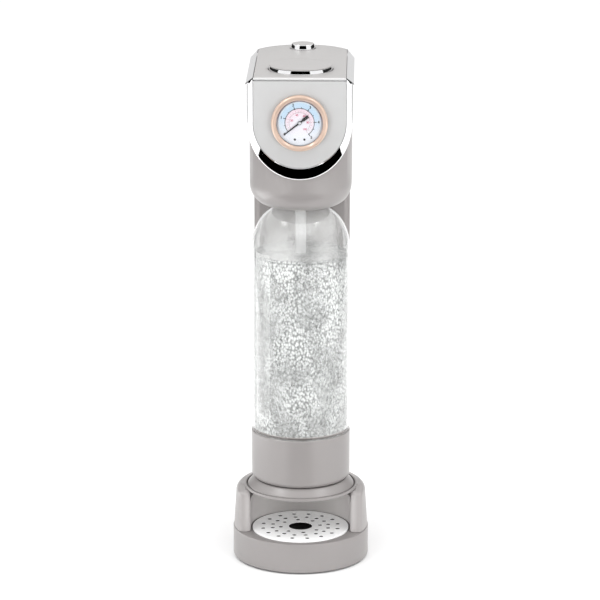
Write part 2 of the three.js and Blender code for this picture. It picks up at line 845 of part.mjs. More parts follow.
function addColumn() {
  const column = groupAt(0, 0, 0);
  addPiece(column, 'column_frame', makeColumnFrame(), bodyPaint);
  addPiece(column, 'rear_cover', makeRearCover(), bodyPaint);
  addPiece(column, 'cylinder_guide_left', makeCylinderGuide(-1), blackPlastic);
  addPiece(column, 'cylinder_guide_right', makeCylinderGuide(1), blackPlastic);
  const gas = groupAt(0, cylinderOffset, 0);
  addPiece(gas, 'cylinder_pad', makeCylinderPad(), softRubber);
  addPiece(gas, 'gas_cylinder', makeGasCylinder(), cylinderPaint);
  addPiece(gas, 'cylinder_valve', makeCylinderValve(), brassMetal);
}

// Bottle

function makeBottleCup() {
  const inner = cupRadius - cupWall;
  const outerRound = arcPoints(cupRadius - cupRound, cupBottom + cupRound, cupRound, -90, 0, 3);
  const innerRound = arcPoints(inner - cupRound, cupBottom + cupWall + cupRound, cupRound, 0, -90, 2);
  return turned([
    [0, cupBottom],
    ...outerRound,
    [cupRadius, cupTop],
    [inner, cupTop],
    ...innerRound,
    [0, cupBottom + cupWall],
  ]);
}

// The dome's radius reaches the neck's where the ellipse of the given height says.
function domePoints(radius, height, neck, steps, up) {
  const end = THREE.MathUtils.radToDeg(Math.acos(neck / radius));
  const points = arcPoints(0, domeBottom, radius, 0, end, steps, height);
  return up ? points : points.reverse();
}

function makeBottleBody() {
  const sleeveInner = sleeveRadius - bottleWall;
  const bodyInner = bottleRadius - bottleWall;
  const neckInner = neckRadius - bottleWall;
  const step = cupTop + gap;
  const floor = bottleBottom + bottleWall;
  const ringBottom = domeBottom + domeHeight;
  const lowRound = arcPoints(sleeveRadius - cupRound, bottleBottom + cupRound, cupRound, -90, 0, 2);
  const lowInner = arcPoints(sleeveInner - cupRound, floor + cupRound, cupRound, 0, -90, 2);
  return turned(
    [
      [0, bottleBottom],
      ...lowRound,
      [sleeveRadius, step],
      [bottleRadius, step],
      ...domePoints(bottleRadius, domeHeight, neckRadius, 6, true),
      [neckRadius, ringBottom],
      [neckRadius + neckRing, ringBottom],
      [neckRadius + neckRing, ringBottom + neckRingHeight],
      [neckRadius, ringBottom + neckRingHeight],
      [neckRadius, neckTop],
      [neckInner, neckTop],
      ...domePoints(bodyInner, domeHeight - bottleWall, neckInner, 5, false),
      [bodyInner, step + bottleWall],
      [sleeveInner, step],
      ...lowInner,
      [0, floor],
    ],
    roundSides,
  );
}

function addBottle() {
  const bottle = groupAt(0, 0, 0);
  addPiece(bottle, 'bottle_cup', makeBottleCup(), bodyPaint);
  addPiece(bottle, 'bottle_body', makeBottleBody(), clearPlastic);
}

// Head casing

function makeBottleCollar() {
  const top = headBottom - gap;
  const spread = headRadius - collarOpening;
  const rise = top - collarBottom;
  const outer = arcPoints(collarOpening, top, spread, -90, 0, 5, rise);
  const inner = arcPoints(collarOpening - shellWall, top, spread, 0, -90, 4, rise - shellWall / 2);
  return turned([...outer, ...inner, [collarOpening - shellWall, collarBottom]]);
}

function headScrewPlaces() {
  return [-columnBossX, columnBossX].map((x) => [x, columnBossY]);
}

function makeHeadBody() {
  const pocketBack = -plateFace + bezelDepth;
  const reach = headRadius + overrun + overrun;
  const outer = raised(headOutline(0), headBottom, headTop);
  const frontBox = drawnBack(frontOutline(bezelHalfWidth, bezelDrop, headTop), pocketBack, 0);
  const inner = raised(headOutline(-shellWall), headFloor, headTop + overrun);
  const wallTop = headTop + overrun;
  const frontInner = frontOutline(bezelHalfWidth - shellWall, bezelDrop - shellWall, wallTop);
  let body = outer.add(frontBox).subtract(inner).subtract(drawnBack(frontInner, -reach, 0));
  const pocket = frontOutline(bezelHalfWidth + gap, bezelDrop + gap, wallTop);
  body = body.subtract(drawnBack(pocket, -reach, pocketBack));
  body = body.subtract(bar(blockRadius + gap, 0, headTop, roundSides));
  const valveHole = bar(valveCollarRadius + slideGap + slideGap, 0, headTop, roundSides);
  body = body.subtract(valveHole.translate(0, cylinderOffset, 0));
  for (const [x, y] of headScrewPlaces()) {
    body = body.subtract(bar(screwRadius + gap, 0, headTop).translate(x, y, 0));
  }
  return body;
}

function makeHeadScrew() {
  const top = headFloor + gap + screwHeadHeight;
  return bar(screwHeadRadius, headFloor + gap, top).add(bar(screwRadius, top - screwLength, top));
}

function makeFrontPlate() {
  const outline = frontOutline(plateHalfWidth, plateHalfWidth, topPlateUnderside - gap);
  const plate = drawnBack(outline, -plateFace, -plateFace + frontPlateThickness, roundSides);
  const hole = bar(gaugeCaseRadius + slideGap, -overrun, plateFace + plateFace, roundSides);
  return plate.subtract(hole.rotate([90, 0, 0]).translate(0, 0, gaugeHeight));
}

// Places round the rear of the top, from the right-hand front to the left-hand front.
function wingLoops() {
  const arc = topBackArc();
  const turns = 16;
  const loops = [];
  const sideLoop = (inX, inY, outX, outY) => {
    loops.push([
      new THREE.Vector3(inX, inY, topPlateHeight),
      new THREE.Vector3(outX, outY, wingEdgeHeight),
      new THREE.Vector3(outX, outY, wingEdgeHeight - wingThickness),
      new THREE.Vector3(inX, inY, topPlateHeight - wingThickness - gap),
    ]);
  };
  const outerBack = trimBack - columnBackCentre;
  sideLoop(plateHalfWidth + gap, -plateFace, wingHalfWidth, -plateFace);
  for (let i = 0; i <= turns; i++) {
    const share = i / turns;
    const inner = arc.angle + (Math.PI - 2 * arc.angle) * share;
    const outer = Math.PI * share;
    sideLoop(
      (arc.radius + gap) * Math.cos(inner),
      arc.centre + (arc.radius + gap) * Math.sin(inner),
      wingHalfWidth * Math.cos(outer),
      columnBackCentre + outerBack * Math.sin(outer),
    );
  }
  sideLoop(-plateHalfWidth - gap, -plateFace, -wingHalfWidth, -plateFace);
  return loops;
}

// The polished trim: a sloping band round the top and a bevelled band round the front plate.
function makeChromeTrim() {
  const pocketBack = -plateFace + bezelDepth - gap;
  const inner = plateHalfWidth + gap;
  const bandTop = wingEdgeHeight;
  const turns = 24;
  const loops = [];
  const bandLoop = (inX, inZ, outX, outZ) => {
    loops.push([
      new THREE.Vector3(inX, -plateFace, inZ),
      new THREE.Vector3(outX, -bezelEdge, outZ),
      new THREE.Vector3(outX, pocketBack, outZ),
      new THREE.Vector3(inX, pocketBack, inZ),
    ]);
  };
  bandLoop(-inner, bandTop, -bezelHalfWidth, bandTop);
  for (let i = 0; i <= turns; i++) {
    const angle = Math.PI + (Math.PI * i) / turns;
    const [c, s] = [Math.cos(angle), Math.sin(angle)];
    bandLoop(inner * c, gaugeHeight + inner * s, bezelHalfWidth * c, gaugeHeight + bezelDrop * s);
  }
  bandLoop(inner, bandTop, bezelHalfWidth, bandTop);
  return skin(loops).add(skin(wingLoops()));
}

function makeTopPlate() {
  let plate = raised(topOutline(), topPlateUnderside, topPlateHeight);
  const buttonHole = bar(buttonRadius + slideGap, 0, topPlateHeight + overrun, roundSides);
  plate = plate.subtract(buttonHole.translate(0, -buttonOffset, 0));
  const ventHole = bar(ventRadius + slideGap, 0, topPlateHeight + overrun, roundSides);
  return plate.subtract(ventHole.translate(0, ventOffset, 0));
}

function addHeadCasing() {
  const head = groupAt(0, 0, 0);
  addPiece(head, 'bottle_collar', makeBottleCollar(), bodyPaint);
  addPiece(head, 'head_body', makeHeadBody(), bodyPaint);
  headScrewPlaces().forEach(([x, y], i) => {
    addPiece(head, `head_screw_${i + 1}`, makeHeadScrew(), steelMetal).position.set(x, y, 0);
  });
  addPiece(head, 'chrome_trim', makeChromeTrim(), polishedChrome);
  addPiece(head, 'front_plate', makeFrontPlate(), satinSilver);
  addPiece(head, 'top_plate', makeTopPlate(), satinSilver);
}

// Gas block, nozzle and seal above the bottle

function makeGasBlock() {
  const flangeRadius = blockRadius + blockFlangeWidth;
  const flangeTop = blockFlangeBottom + blockFlangeThickness;
  let body = turned(
    [
      [blockBoreRadius, blockBottom],
      [blockRadius, blockBottom],
      [blockRadius, blockFlangeBottom],
      [flangeRadius, blockFlangeBottom],
      [flangeRadius, flangeTop],
      [blockRadius, flangeTop],
      [blockRadius, blockTop],
      [0, blockTop],
      [0, tubeTop + gap],
      [nozzleRadius + gap, tubeTop + gap],
      [nozzleRadius + gap, boreTop],
      [blockBoreRadius, boreTop],
    ],
    midSides,
  );
  const pipeHole = bar(gaugePipeRadius + gap, blockTop - gaugePipeRadius - gap, blockTop + overrun);
  body = body.subtract(pipeHole.translate(0, gaugePipeY(), 0));
  const sideHole = bar(reliefRadius / 2 + gap, 0, blockRadius + overrun);
  return body.subtract(sideHole.rotate([0, 90, 0]).translate(blockRadius / 2, 0, reliefHeight));
}

// The gauge's pipe drops into the block in front of the lever's end.
function gaugePipeY() {
  return -leverFront - gaugePipeRadius - gaugePipeRadius - slideGap;
}

function makeNozzleTube() {
  return ring(nozzleRadius - nozzleWall, nozzleRadius, nozzleBottom, tubeTop, smallSides);
}

function makeNozzleTip() {
  const plug = nozzleRadius - nozzleWall - gap;
  const plugTop = nozzleBottom + nozzleRadius;
  const profile = [
    [tipRadius - nozzleWall, tipBottom],
    [tipRadius, tipBottom],
    [tipRadius, nozzleBottom - gap],
    [plug, nozzleBottom - gap],
    [plug, plugTop],
    [tipRadius - nozzleWall, plugTop],
  ];
  return turned(profile, smallSides);
}

function makeBottleSeal() {
  return ring(nozzleRadius + gap, neckRadius, sealBottom, sealTop, midSides);
}

function makeReliefValve() {
  const nipple = bar(reliefRadius / 2, blockRadius / 2 + gap, blockRadius + slideGap);
  const body = bar(reliefRadius, blockRadius + gap, reliefEnd);
  return nipple.add(body).rotate([0, 90, 0]).translate(0, 0, reliefHeight);
}

function addCarbonator() {
  const carbonator = groupAt(0, 0, 0);
  addPiece(carbonator, 'gas_block', makeGasBlock(), brassMetal);
  addPiece(carbonator, 'nozzle_tube', makeNozzleTube(), clearPlastic);
  addPiece(carbonator, 'nozzle_tip', makeNozzleTip(), clearPlastic);
  addPiece(carbonator, 'bottle_seal', makeBottleSeal(), softRubber);
  addPiece(carbonator, 'relief_valve', makeReliefValve(), brassMetal);
}

// Pressure gauge, in a group at the front plate's face on the dial's axis

function turnedAlongY(profile, sides = roundSides) {
  return turned(profile.map(([radius, depth]) => [radius, -depth]), sides).rotate([90, 0, 0]);
}

const caseFront = gaugeCaseWall - gaugeBezelProud + gaugeLensThickness + gap + gap;

function makeGaugeCase() {
  const pipeHole = bar(gaugePipeRadius + gap, 0, gaugeCaseDepth + overrun).rotate([-90, 0, 0]);
  const cup = turnedAlongY([
    [0, gaugeCaseDepth],
    [gaugeCaseRadius, gaugeCaseDepth],
    [gaugeCaseRadius, caseFront],
    [gaugeCaseRadius - gaugeCaseWall, caseFront],
    [gaugeCaseRadius - gaugeCaseWall, gaugeCaseDepth - gaugeCaseWall],
    [0, gaugeCaseDepth - gaugeCaseWall],
  ]);
  return cup.subtract(pipeHole);
}

function makeGaugeBezel() {
  const bore = gaugeCaseRadius + gap;
  const lipBack = caseFront - gaugeLensThickness - gap - gap;
  const round = gaugeBezelRadius - gaugeCaseRadius;
  return turnedAlongY([
    [bore, -gap],
    [gaugeBezelRadius, -gap],
    [gaugeBezelRadius, -gaugeBezelProud + round],
    [gaugeBezelRadius - round / 3, -gaugeBezelProud + round / 3],
    [gaugeBezelRadius - round, -gaugeBezelProud],
    [gaugeDialRadius, lipBack - gap],
    [gaugeDialRadius, lipBack],
    [bore, lipBack],
  ]);
}

function makeGaugeLens() {
  const back = caseFront - gap;
  return turnedAlongY([
    [0, back],
    [gaugeCaseRadius, back],
    [gaugeCaseRadius, back - gaugeLensThickness],
    [0, back - gaugeLensThickness],
  ]);
}

function makeGaugeDial() {
  const hole = needleArborRadius + gap;
  return turnedAlongY([
    [hole, 0],
    [gaugeDialRadius, 0],
    [gaugeDialRadius, gaugeDialThickness],
    [hole, gaugeDialThickness],
  ]);
}

// The needle lies along +X and is then turned to its rest angle.
function makeGaugeNeedle() {
  const front = -gap - needleThickness;
  const outline = new THREE.Shape();
  const root = needleHubRadius / 2;
  const tip = root / 2;
  outline.moveTo(needleLength, tip / 2);
  outline.lineTo(0, root);
  outline.lineTo(0, -root);
  outline.lineTo(needleLength, -tip / 2);
  const pointer = drawnBack(outline, front, -gap);
  const half = needleTailWidth / 2;
  const tail = block(-needleTail, 0, front, -gap, -half, half);
  const hub = turnedAlongY([
    [0, front - gap],
    [needleHubRadius, front - gap],
    [needleHubRadius, -gap],
    [needleArborRadius, -gap],
    [needleArborRadius, gaugeCaseDepth / 2],
    [0, gaugeCaseDepth / 2],
  ], smallSides);
  return pointer.add(tail).add(hub).rotate([0, -needleRestAngle, 0]);
}

// A hooked tube that straightens under pressure, fed by the pipe at the back of the case.
function makeBourdonTube() {
  const depth = gaugeCaseDepth - gaugeCaseWall - bourdonTube - gap;
  const points = [];
  for (let degrees = bourdonStart; degrees <= bourdonEnd; degrees += bourdonStep) {
    const angle = THREE.MathUtils.degToRad(degrees);
    const [x, z] = [bourdonRadius * Math.cos(angle), bourdonRadius * Math.sin(angle)];
    points.push(new THREE.Vector3(x, depth, z));
  }
  return tube(new THREE.CatmullRomCurve3(points), bourdonTube, 14, 3);
}

// A pipe from the back of the gauge down into the gas block.
function makeGaugePipe() {
  const start = gaugeCaseDepth - gaugeCaseWall;
  const endY = plateFace + gaugePipeY();
  const drop = blockTop - gaugeHeight;
  const bend = gaugePipeRadius + gaugePipeRadius;
  const path = new THREE.CurvePath();
  const corner = new THREE.Vector3(0, endY, 0);
  const first = new THREE.Vector3(0, endY - bend, 0);
  const second = new THREE.Vector3(0, endY, -bend);
  path.add(new THREE.LineCurve3(new THREE.Vector3(0, start, 0), first));
  path.add(new THREE.QuadraticBezierCurve3(first, corner, second));
  path.add(new THREE.LineCurve3(second, new THREE.Vector3(0, endY, drop - gaugePipeRadius)));
  return tube(path, gaugePipeRadius, 10, 4);
}

function addGauge() {
  const gauge = groupAt(0, -plateFace, gaugeHeight);
  addPiece(gauge, 'gauge_case', makeGaugeCase(), steelMetal);
  addPiece(gauge, 'gauge_bezel', makeGaugeBezel(), copperMetal);
  addPiece(gauge, 'gauge_lens', makeGaugeLens(), clearGlass);
  addPiece(gauge, 'gauge_dial', makeGaugeDial(), whiteEnamel);
  addPiece(gauge, 'gauge_needle', makeGaugeNeedle(), blackPlastic);
  addPiece(gauge, 'bourdon_tube', makeBourdonTube(), brassMetal);
  addPiece(gauge, 'gauge_pipe', makeGaugePipe(), brassMetal);
}

// Valve block, pin, lever and hoses

function makeValveBlock() {
  const skirtTop = threadBottom + slideGap;
  const pinHole = pinRadius + gap;
  return turned(
    [
      [valveCollarRadius + slideGap, headFloor + gap],
      [valveBlockRadius, headFloor + gap],
      [valveBlockRadius, valveBlockTop],
      [pinHole, valveBlockTop],
      [pinHole, valveBlockBore],
      [valveThreadRadius + slideGap, valveBlockBore],
      [valveThreadRadius + slideGap, skirtTop],
      [valveCollarRadius + slideGap, skirtTop],
    ],
    midSides,
  );
}

function makeValvePin() {
  const headBottomHeight = pinTop - pinHeadHeight;
  return bar(pinRadius, pinBottom, pinTop).add(bar(pinHeadRadius, headBottomHeight, pinTop));
}

function makeValveLever() {
  const arm = block(
    -leverHalfWidth,
    leverHalfWidth,
    -leverFront,
    leverPivotOffset,
    leverBottom,
    leverBottom + leverThickness,
  );
  const eye = bar(leverEyeRadius, -leverHalfWidth, leverHalfWidth, roundSides);
  const hole = bar(leverPinRadius + gap, -leverHalfWidth - overrun, leverHalfWidth + overrun);
  const place = (solid) => solid.rotate([0, 90, 0]).translate(0, leverPivotOffset, leverAxisHeight);
  return arm.add(place(eye)).subtract(place(hole));
}

function makeLeverBracket() {
  const inner = leverHalfWidth + slideGap;
  const outer = inner + bracketThickness;
  const floor = headFloor + gap;
  const whole = block(-outer, outer, bracketFront, bracketBack, floor, bracketTop);
  const middle = block(
    -inner,
    inner,
    bracketFront - overrun,
    bracketBack + overrun,
    floor + bracketThickness,
    bracketTop + overrun,
  );
  const hole = bar(leverPinRadius + gap, -outer - overrun, outer + overrun).rotate([0, 90, 0]);
  return whole.subtract(middle).subtract(hole.translate(0, leverPivotOffset, leverAxisHeight));
}

function makeLeverPin() {
  const reach = leverHalfWidth + slideGap + bracketThickness + slideGap;
  const pin = bar(leverPinRadius, -reach, reach).rotate([0, 90, 0]);
  return pin.translate(0, leverPivotOffset, leverAxisHeight);
}

function makeGasHose() {
  const start = blockRadius + gap;
  const end = cylinderOffset - valveBlockRadius - gap;
  const points = hoseShares.map((share, i) => {
    const y = start + (end - start) * share;
    const isMiddle = i === (hoseShares.length - 1) / 2;
    return new THREE.Vector3(0, y, isMiddle ? hoseHeight - hoseRadius : hoseHeight);
  });
  return tube(new THREE.CatmullRomCurve3(points), hoseRadius, 6, 4);
}

// From the vent's well, past the lever, to the top of the gas block.
function makeVentHose() {
  const side = leverHalfWidth + ventHoseRadius + slideGap + slideGap;
  const wellBottom = topPlateUnderside - ventWellDepth;
  const points = [
    [side, ventOffset, wellBottom - gap],
    [side, ventOffset, wellBottom - ventHoseRadius * 2],
    [side, ventOffset - cylinderRadius, leverBottom + leverThickness + ventHoseRadius * 2],
    [side, blockRadius * 2, leverBottom + ventHoseRadius],
    [side, blockRadius / 2, leverBottom - ventHoseRadius],
    [side, blockRadius / 2, blockTop + gap],
  ].map(([x, y, z]) => new THREE.Vector3(x, y, z));
  return tube(new THREE.CatmullRomCurve3(points), ventHoseRadius, 14, 3);
}

function addValveTrain() {
  const train = groupAt(0, 0, 0);
  addPiece(train, 'valve_block', makeValveBlock(), brassMetal).position.set(0, cylinderOffset, 0);
  addPiece(train, 'valve_pin', makeValvePin(), steelMetal).position.set(0, cylinderOffset, 0);
  addPiece(train, 'valve_lever', makeValveLever(), steelMetal);
  addPiece(train, 'lever_bracket', makeLeverBracket(), steelMetal);
  addPiece(train, 'lever_pin', makeLeverPin(), steelMetal);
  addPiece(train, 'gas_hose', makeGasHose(), greyPlastic);
  addPiece(train, 'vent_hose', makeVentHose(), greyPlastic);
}

// Push button

// A cup under the top plate with a guide for a stem, in the group of its button.
function makeButtonWell({ capRadius, travel, springRadius, stemRadius, depth, guideHeight }) {
  const top = topPlateUnderside - gap;
  const floor = topPlateUnderside - depth;
  const wide = capRadius + slideGap;
  const narrow = springRadius + springWire + slideGap;
  const step = capUnderside - travel - gap;
  const hole = stemRadius + slideGap;
  const guide = hole + shellWall / 2;
  return turned(
    [
      [hole, floor],
      [narrow + shellWall, floor],
      [narrow + shellWall, step - shellWall],
      [wide + shellWall, step - shellWall],
      [wide + shellWall, top],
      [wide, top],
      [wide, step],
      [narrow, step],
      [narrow, floor + shellWall],
      [guide, floor + shellWall],
      [guide, floor + shellWall + guideHeight],
      [hole, floor + shellWall + guideHeight],
    ],
    midSides,
  );
}

function makeButtonCap() {
  const plug = buttonRadius - buttonRingWidth - gap;
  const top = topPlateHeight + buttonProud;
  const shoulder = top - slideGap;
  return turned([
    [0, capUnderside],
    [plug, capUnderside],
    [plug, shoulder - gap],
    [buttonRadius - gap, shoulder - gap],
    [buttonRadius - slideGap - slideGap, top],
    [0, top],
  ]);
}

function makeButtonRing() {
  const top = topPlateHeight + buttonProud - slideGap - gap - gap;
  return ring(buttonRadius - buttonRingWidth, buttonRadius, top - buttonRingHeight, top);
}

function makeButtonStem() {
  return bar(buttonStemRadius, leverBottom + leverThickness + gap, capUnderside - gap);
}

function makeButtonSpring() {
  const floor = topPlateUnderside - buttonWellDepth + shellWall;
  const top = capUnderside - gap;
  return coilSpring(buttonSpringRadius, springWire, floor + gap, top, buttonSpringCurls);
}

function addButton() {
  const button = groupAt(0, -buttonOffset, 0);
  const well = makeButtonWell({
    capRadius: buttonRadius,
    travel: buttonTravel,
    springRadius: buttonSpringRadius,
    stemRadius: buttonStemRadius,
    depth: buttonWellDepth,
    guideHeight: buttonTravel / 2,
  });
  addPiece(button, 'button_well', well, blackPlastic);
  addPiece(button, 'button_cap', makeButtonCap(), satinSilver);
  addPiece(button, 'button_ring', makeButtonRing(), polishedChrome);
  addPiece(button, 'button_stem', makeButtonStem(), steelMetal);
  addPiece(button, 'button_spring', makeButtonSpring(), steelMetal);
}

// Vent button

function makeVentCap() {
  const top = topPlateHeight + ventProud;
  return turned([
    [0, capUnderside],
    [ventRadius, capUnderside],
    [ventRadius, top - slideGap],
    [ventRadius - slideGap, top],
    [0, top],
  ]);
}

function makeVentSpring() {
  const floor = topPlateUnderside - ventWellDepth + shellWall;
  const top = capUnderside - gap;
  return coilSpring(ventSpringRadius, springWire, floor + gap, top, ventSpringCurls);
}

function addVent() {
  const vent = groupAt(0, ventOffset, 0);
  const well = makeButtonWell({
    capRadius: ventRadius,
    travel: ventTravel,
    springRadius: ventSpringRadius,
    stemRadius: ventStemRadius,
    depth: ventWellDepth,
    guideHeight: ventTravel,
  });
  addPiece(vent, 'vent_valve', well, blackPlastic);
  addPiece(vent, 'vent_cap', makeVentCap(), polishedChrome);
  addPiece(vent, 'vent_stem', bar(ventStemRadius, ventStemEnd, capUnderside - gap), steelMetal);
  addPiece(vent, 'vent_spring', makeVentSpring(), steelMetal);
}

addBase();
addColumn();
addBottle();
addHeadCasing();
addCarbonator();
addGauge();
addValveTrain();
addButton();
addVent();

export default machine;
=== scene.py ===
# The looks of the sparkling water maker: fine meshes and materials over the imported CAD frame.
# Metres, in the CAD's own frame. Sizes and places come from the CAD nodes wherever one has them.
import math
import random
from types import SimpleNamespace

import bmesh
import bpy
import numpy as np
from mathutils import Matrix, Vector
from mathutils.geometry import delaunay_2d_cdt


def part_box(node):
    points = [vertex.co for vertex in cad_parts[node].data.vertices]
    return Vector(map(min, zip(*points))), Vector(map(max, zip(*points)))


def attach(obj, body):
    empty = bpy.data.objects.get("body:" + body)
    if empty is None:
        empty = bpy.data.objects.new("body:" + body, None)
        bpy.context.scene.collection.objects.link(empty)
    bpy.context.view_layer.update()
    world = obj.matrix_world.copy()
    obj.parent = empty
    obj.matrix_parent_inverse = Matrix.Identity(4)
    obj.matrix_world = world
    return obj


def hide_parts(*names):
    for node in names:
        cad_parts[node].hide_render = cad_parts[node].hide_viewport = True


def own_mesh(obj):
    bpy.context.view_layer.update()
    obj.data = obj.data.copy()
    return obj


MM = 0.001
FINE = 144  # sides of a round solid
SHARP = math.radians(32)  # an edge that bends more than this stays sharp
TINY = 1e-9

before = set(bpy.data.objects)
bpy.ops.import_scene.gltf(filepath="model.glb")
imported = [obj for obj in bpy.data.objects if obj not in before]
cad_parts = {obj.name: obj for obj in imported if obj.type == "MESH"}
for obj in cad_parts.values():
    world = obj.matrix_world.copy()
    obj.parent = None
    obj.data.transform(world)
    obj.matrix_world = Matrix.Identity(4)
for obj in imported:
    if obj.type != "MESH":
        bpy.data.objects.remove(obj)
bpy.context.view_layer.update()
scene = bpy.context.scene


def measured(node):
    """A node's limits in Y and Z, its middle and its half width, at rest."""
    low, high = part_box(node)
    middle = (low + high) / 2
    return SimpleNamespace(y0=low.y, y1=high.y, z0=low.z, z1=high.z, cx=middle.x, cy=middle.y,
                           cz=middle.z, r=(high.x - low.x) / 2)


bottle, cup, base, drum, rest, grate, pan, column, cover, head, collar = map(measured, (
    "bottle_body", "bottle_cup", "base_pan", "drum_shell", "bottle_rest", "drip_grate", "tray_pan",
    "column_frame", "rear_cover", "head_body", "bottle_collar"))
plate, top, trim, cap, ring, vent, bezel, dial, lens, tube, tip = map(measured, (
    "front_plate", "top_plate", "chrome_trim", "button_cap", "button_ring", "vent_cap", "gauge_bezel",
    "gauge_dial", "gauge_lens", "nozzle_tube", "nozzle_tip"))
AXIS = bottle.cy
COVER_CENTRE = cover.y1 - column.r
GAUGE_Z = bezel.cz

# Shapes that the boxes don't give
WALL = 2.4 * MM
FIT = 0.3 * MM
LIP_RADIUS = 48.5 * MM
LIP_WIDTH = 2.0 * MM
LIP_HEIGHT = 2.5 * MM
SHELF_DROP = 12.9 * MM
ALCOVE_RADIUS = 44.6 * MM
HORN_ROUND = 5.5 * MM
SHOULDER = 7.0 * MM
DRUM_TAPER = 1.8 * MM
POST_SIDE = 29.0 * MM
POST_BACK = 33.5 * MM
CENTRE_HOLE = 10.4 * MM
DRAIN_HOLE = 1.9 * MM
COLUMN_CORNER = 6.0 * MM
COLLAR_OPENING = 28.0 * MM
NECK_BORE = 20.3 * MM
GAS_BORE = 14.7 * MM
GAS_AXIS = AXIS + 82 * MM
GAUGE_BORE = 22.2 * MM
BAND_SLOPE = 2.6 * MM
BAND_DEPTH = 4.7 * MM
BAND_HALF_WIDTH = 45.2 * MM
WING_EDGE = trim.z1 - 5.2 * MM
BOTTLE_WALL = 1.8 * MM
NECK = 15 * MM
DOME_LOW = 284 * MM
DOME_RISE = 45 * MM
FOOT_ROUND = 6 * MM
WATER_TOP = 279.0 * MM
BUBBLES = 1500
SCALE_RADIUS = 12.7 * MM
INNER_LINE = 9.1 * MM
SCALE_START, SCALE_SWEEP = 218, 270
INK = (0.01 * MM, 0.06 * MM)  # how far a mark's back and front stand before the dial
DIAL_SCREW_SIDE = 4.1 * MM
DIAL_SCREW_DROP = 14.6 * MM


# Points and outlines

def arc(cx, cy, radius, start, end, steps, radius_y=None):
    """Points along an arc, angles in degrees."""
    ry = radius if radius_y is None else radius_y
    angles = np.radians(np.linspace(start, end, steps + 1))
    return [(cx + radius * math.cos(a), cy + ry * math.sin(a)) for a in angles]


def near(radius, z, *offsets):
    """Points of a profile, each given in millimetres from a radius and a height."""
    return [(radius + dr * MM, z + dz * MM) for dr, dz in offsets]


def bar(inner, outer, low, high):
    """The profile of a ring, or of a rod where the inner radius is 0."""
    return [(inner, low), (outer, low), (outer, high), (inner, high)]


def softened(points, radius, steps=3, closed=False):
    """The outline with each corner rounded, where its sides are long enough."""
    made = []
    count = len(points)
    for i, point in enumerate(points):
        if not closed and i in (0, count - 1):
            made.append(point)
            continue
        before, after = Vector(points[i - 1]), Vector(points[(i + 1) % count])
        corner = Vector(point)
        a, b = before - corner, after - corner
        if a.length < TINY or b.length < TINY or a.angle(b) > math.radians(165):
            made.append(point)
            continue
        reach = min(radius, a.length * 0.45, b.length * 0.45)
        start, end = corner + a.normalized() * reach, corner + b.normalized() * reach
        for k in range(steps + 1):
            t = k / steps
            bent = start * (1 - t) ** 2 + corner * 2 * t * (1 - t) + end * t ** 2
            made.append((bent.x, bent.y))
    return made


def inset(points, distance):
    """A closed outline moved inwards, for an outline that runs counterclockwise."""
    made = []
    count = len(points)
    for i, point in enumerate(points):
        here = Vector(point)
        a, b = here - Vector(points[i - 1]), Vector(points[(i + 1) % count]) - here
        if a.length < TINY:
            a = b
        if b.length < TINY:
            b = a
        along = a.normalized() + b.normalized()
        normal = Vector((-along.y, along.x))
        if normal.length < 1e-6:
            normal = Vector((-a.y, a.x))
        normal.normalize()
        cosine = max(0.4, normal.dot(Vector((-a.y, a.x)).normalized()))
        moved = here + normal * distance / cosine
        made.append((moved.x, moved.y))
    return made


# Meshes

def linked(name, data):
    """A new object in the scene."""
    obj = bpy.data.objects.new(name, data)
    scene.collection.objects.link(obj)
    return obj


def made_object(name, verts, faces):
    mesh = bpy.data.meshes.new(name)
    mesh.from_pydata([tuple(v) for v in verts], [], faces)
    mesh.update()
    obj = linked(name, mesh)
    cleaned(obj)
    return obj


def cleaned(obj):
    """Joins doubled points, turns the faces outwards and shades smooth up to the sharp angle."""
    bm = bmesh.new()
    bm.from_mesh(obj.data)
    bmesh.ops.remove_doubles(bm, verts=bm.verts, dist=1e-6)
    bmesh.ops.dissolve_degenerate(bm, edges=bm.edges, dist=1e-7)
    bmesh.ops.recalc_face_normals(bm, faces=bm.faces)
    bm.to_mesh(obj.data)
    bm.free()
    shaded(obj.data)


def shaded(mesh):
    mesh.shade_smooth()
    mesh.set_sharp_from_angle(angle=SHARP)


def placed(obj, place):
    """Puts each point of a mesh where a rule says."""
    for v in obj.data.vertices:
        v.co = place(*v.co)
    cleaned(obj)
    return obj


def ring_faces(low, high, count):
    """The faces between two rings of points, given by the number of each ring's first point."""
    return [(low + k, low + (k + 1) % count, high + (k + 1) % count, high + k) for k in range(count)]


def lathe(name, profile, cx=0.0, cy=AXIS, sides=FINE):
    """A solid turned about an upright axis. A profile that touches the axis is closed there."""
    verts, rings = [], []
    for radius, z in profile:
        count = 1 if radius < TINY else sides
        rings.append((len(verts), count))
        for k in range(count):
            a = 2 * math.pi * k / sides
            verts.append((cx + radius * math.cos(a), cy + radius * math.sin(a), z))
    pairs = list(zip(rings, rings[1:]))
    if all(count > 1 for _, count in rings):
        pairs.append((rings[-1], rings[0]))
    faces = []
    for (low, low_count), (high, high_count) in pairs:
        for a, b, c, d in ring_faces(low, high, sides):
            faces.append((low, c, d) if low_count == 1 else (a, b, high) if high_count == 1 else (a, b, c, d))
    return made_object(name, verts, faces)


def rod(name, radius, low, high, cx=0.0, cy=AXIS, sides=FINE):
    """A plain round solid about an upright axis."""
    return lathe(name, bar(0, radius, low, high), cx, cy, sides)


def turned_along_y(name, profile, sides=FINE):
    """A solid turned about the dial's axis, from radius and depth behind the front plate's face."""
    obj = lathe(name, profile, 0.0, 0.0, sides)
    return placed(obj, lambda x, y, z: (dial.cx + x, plate.y0 + z, dial.cz + y))


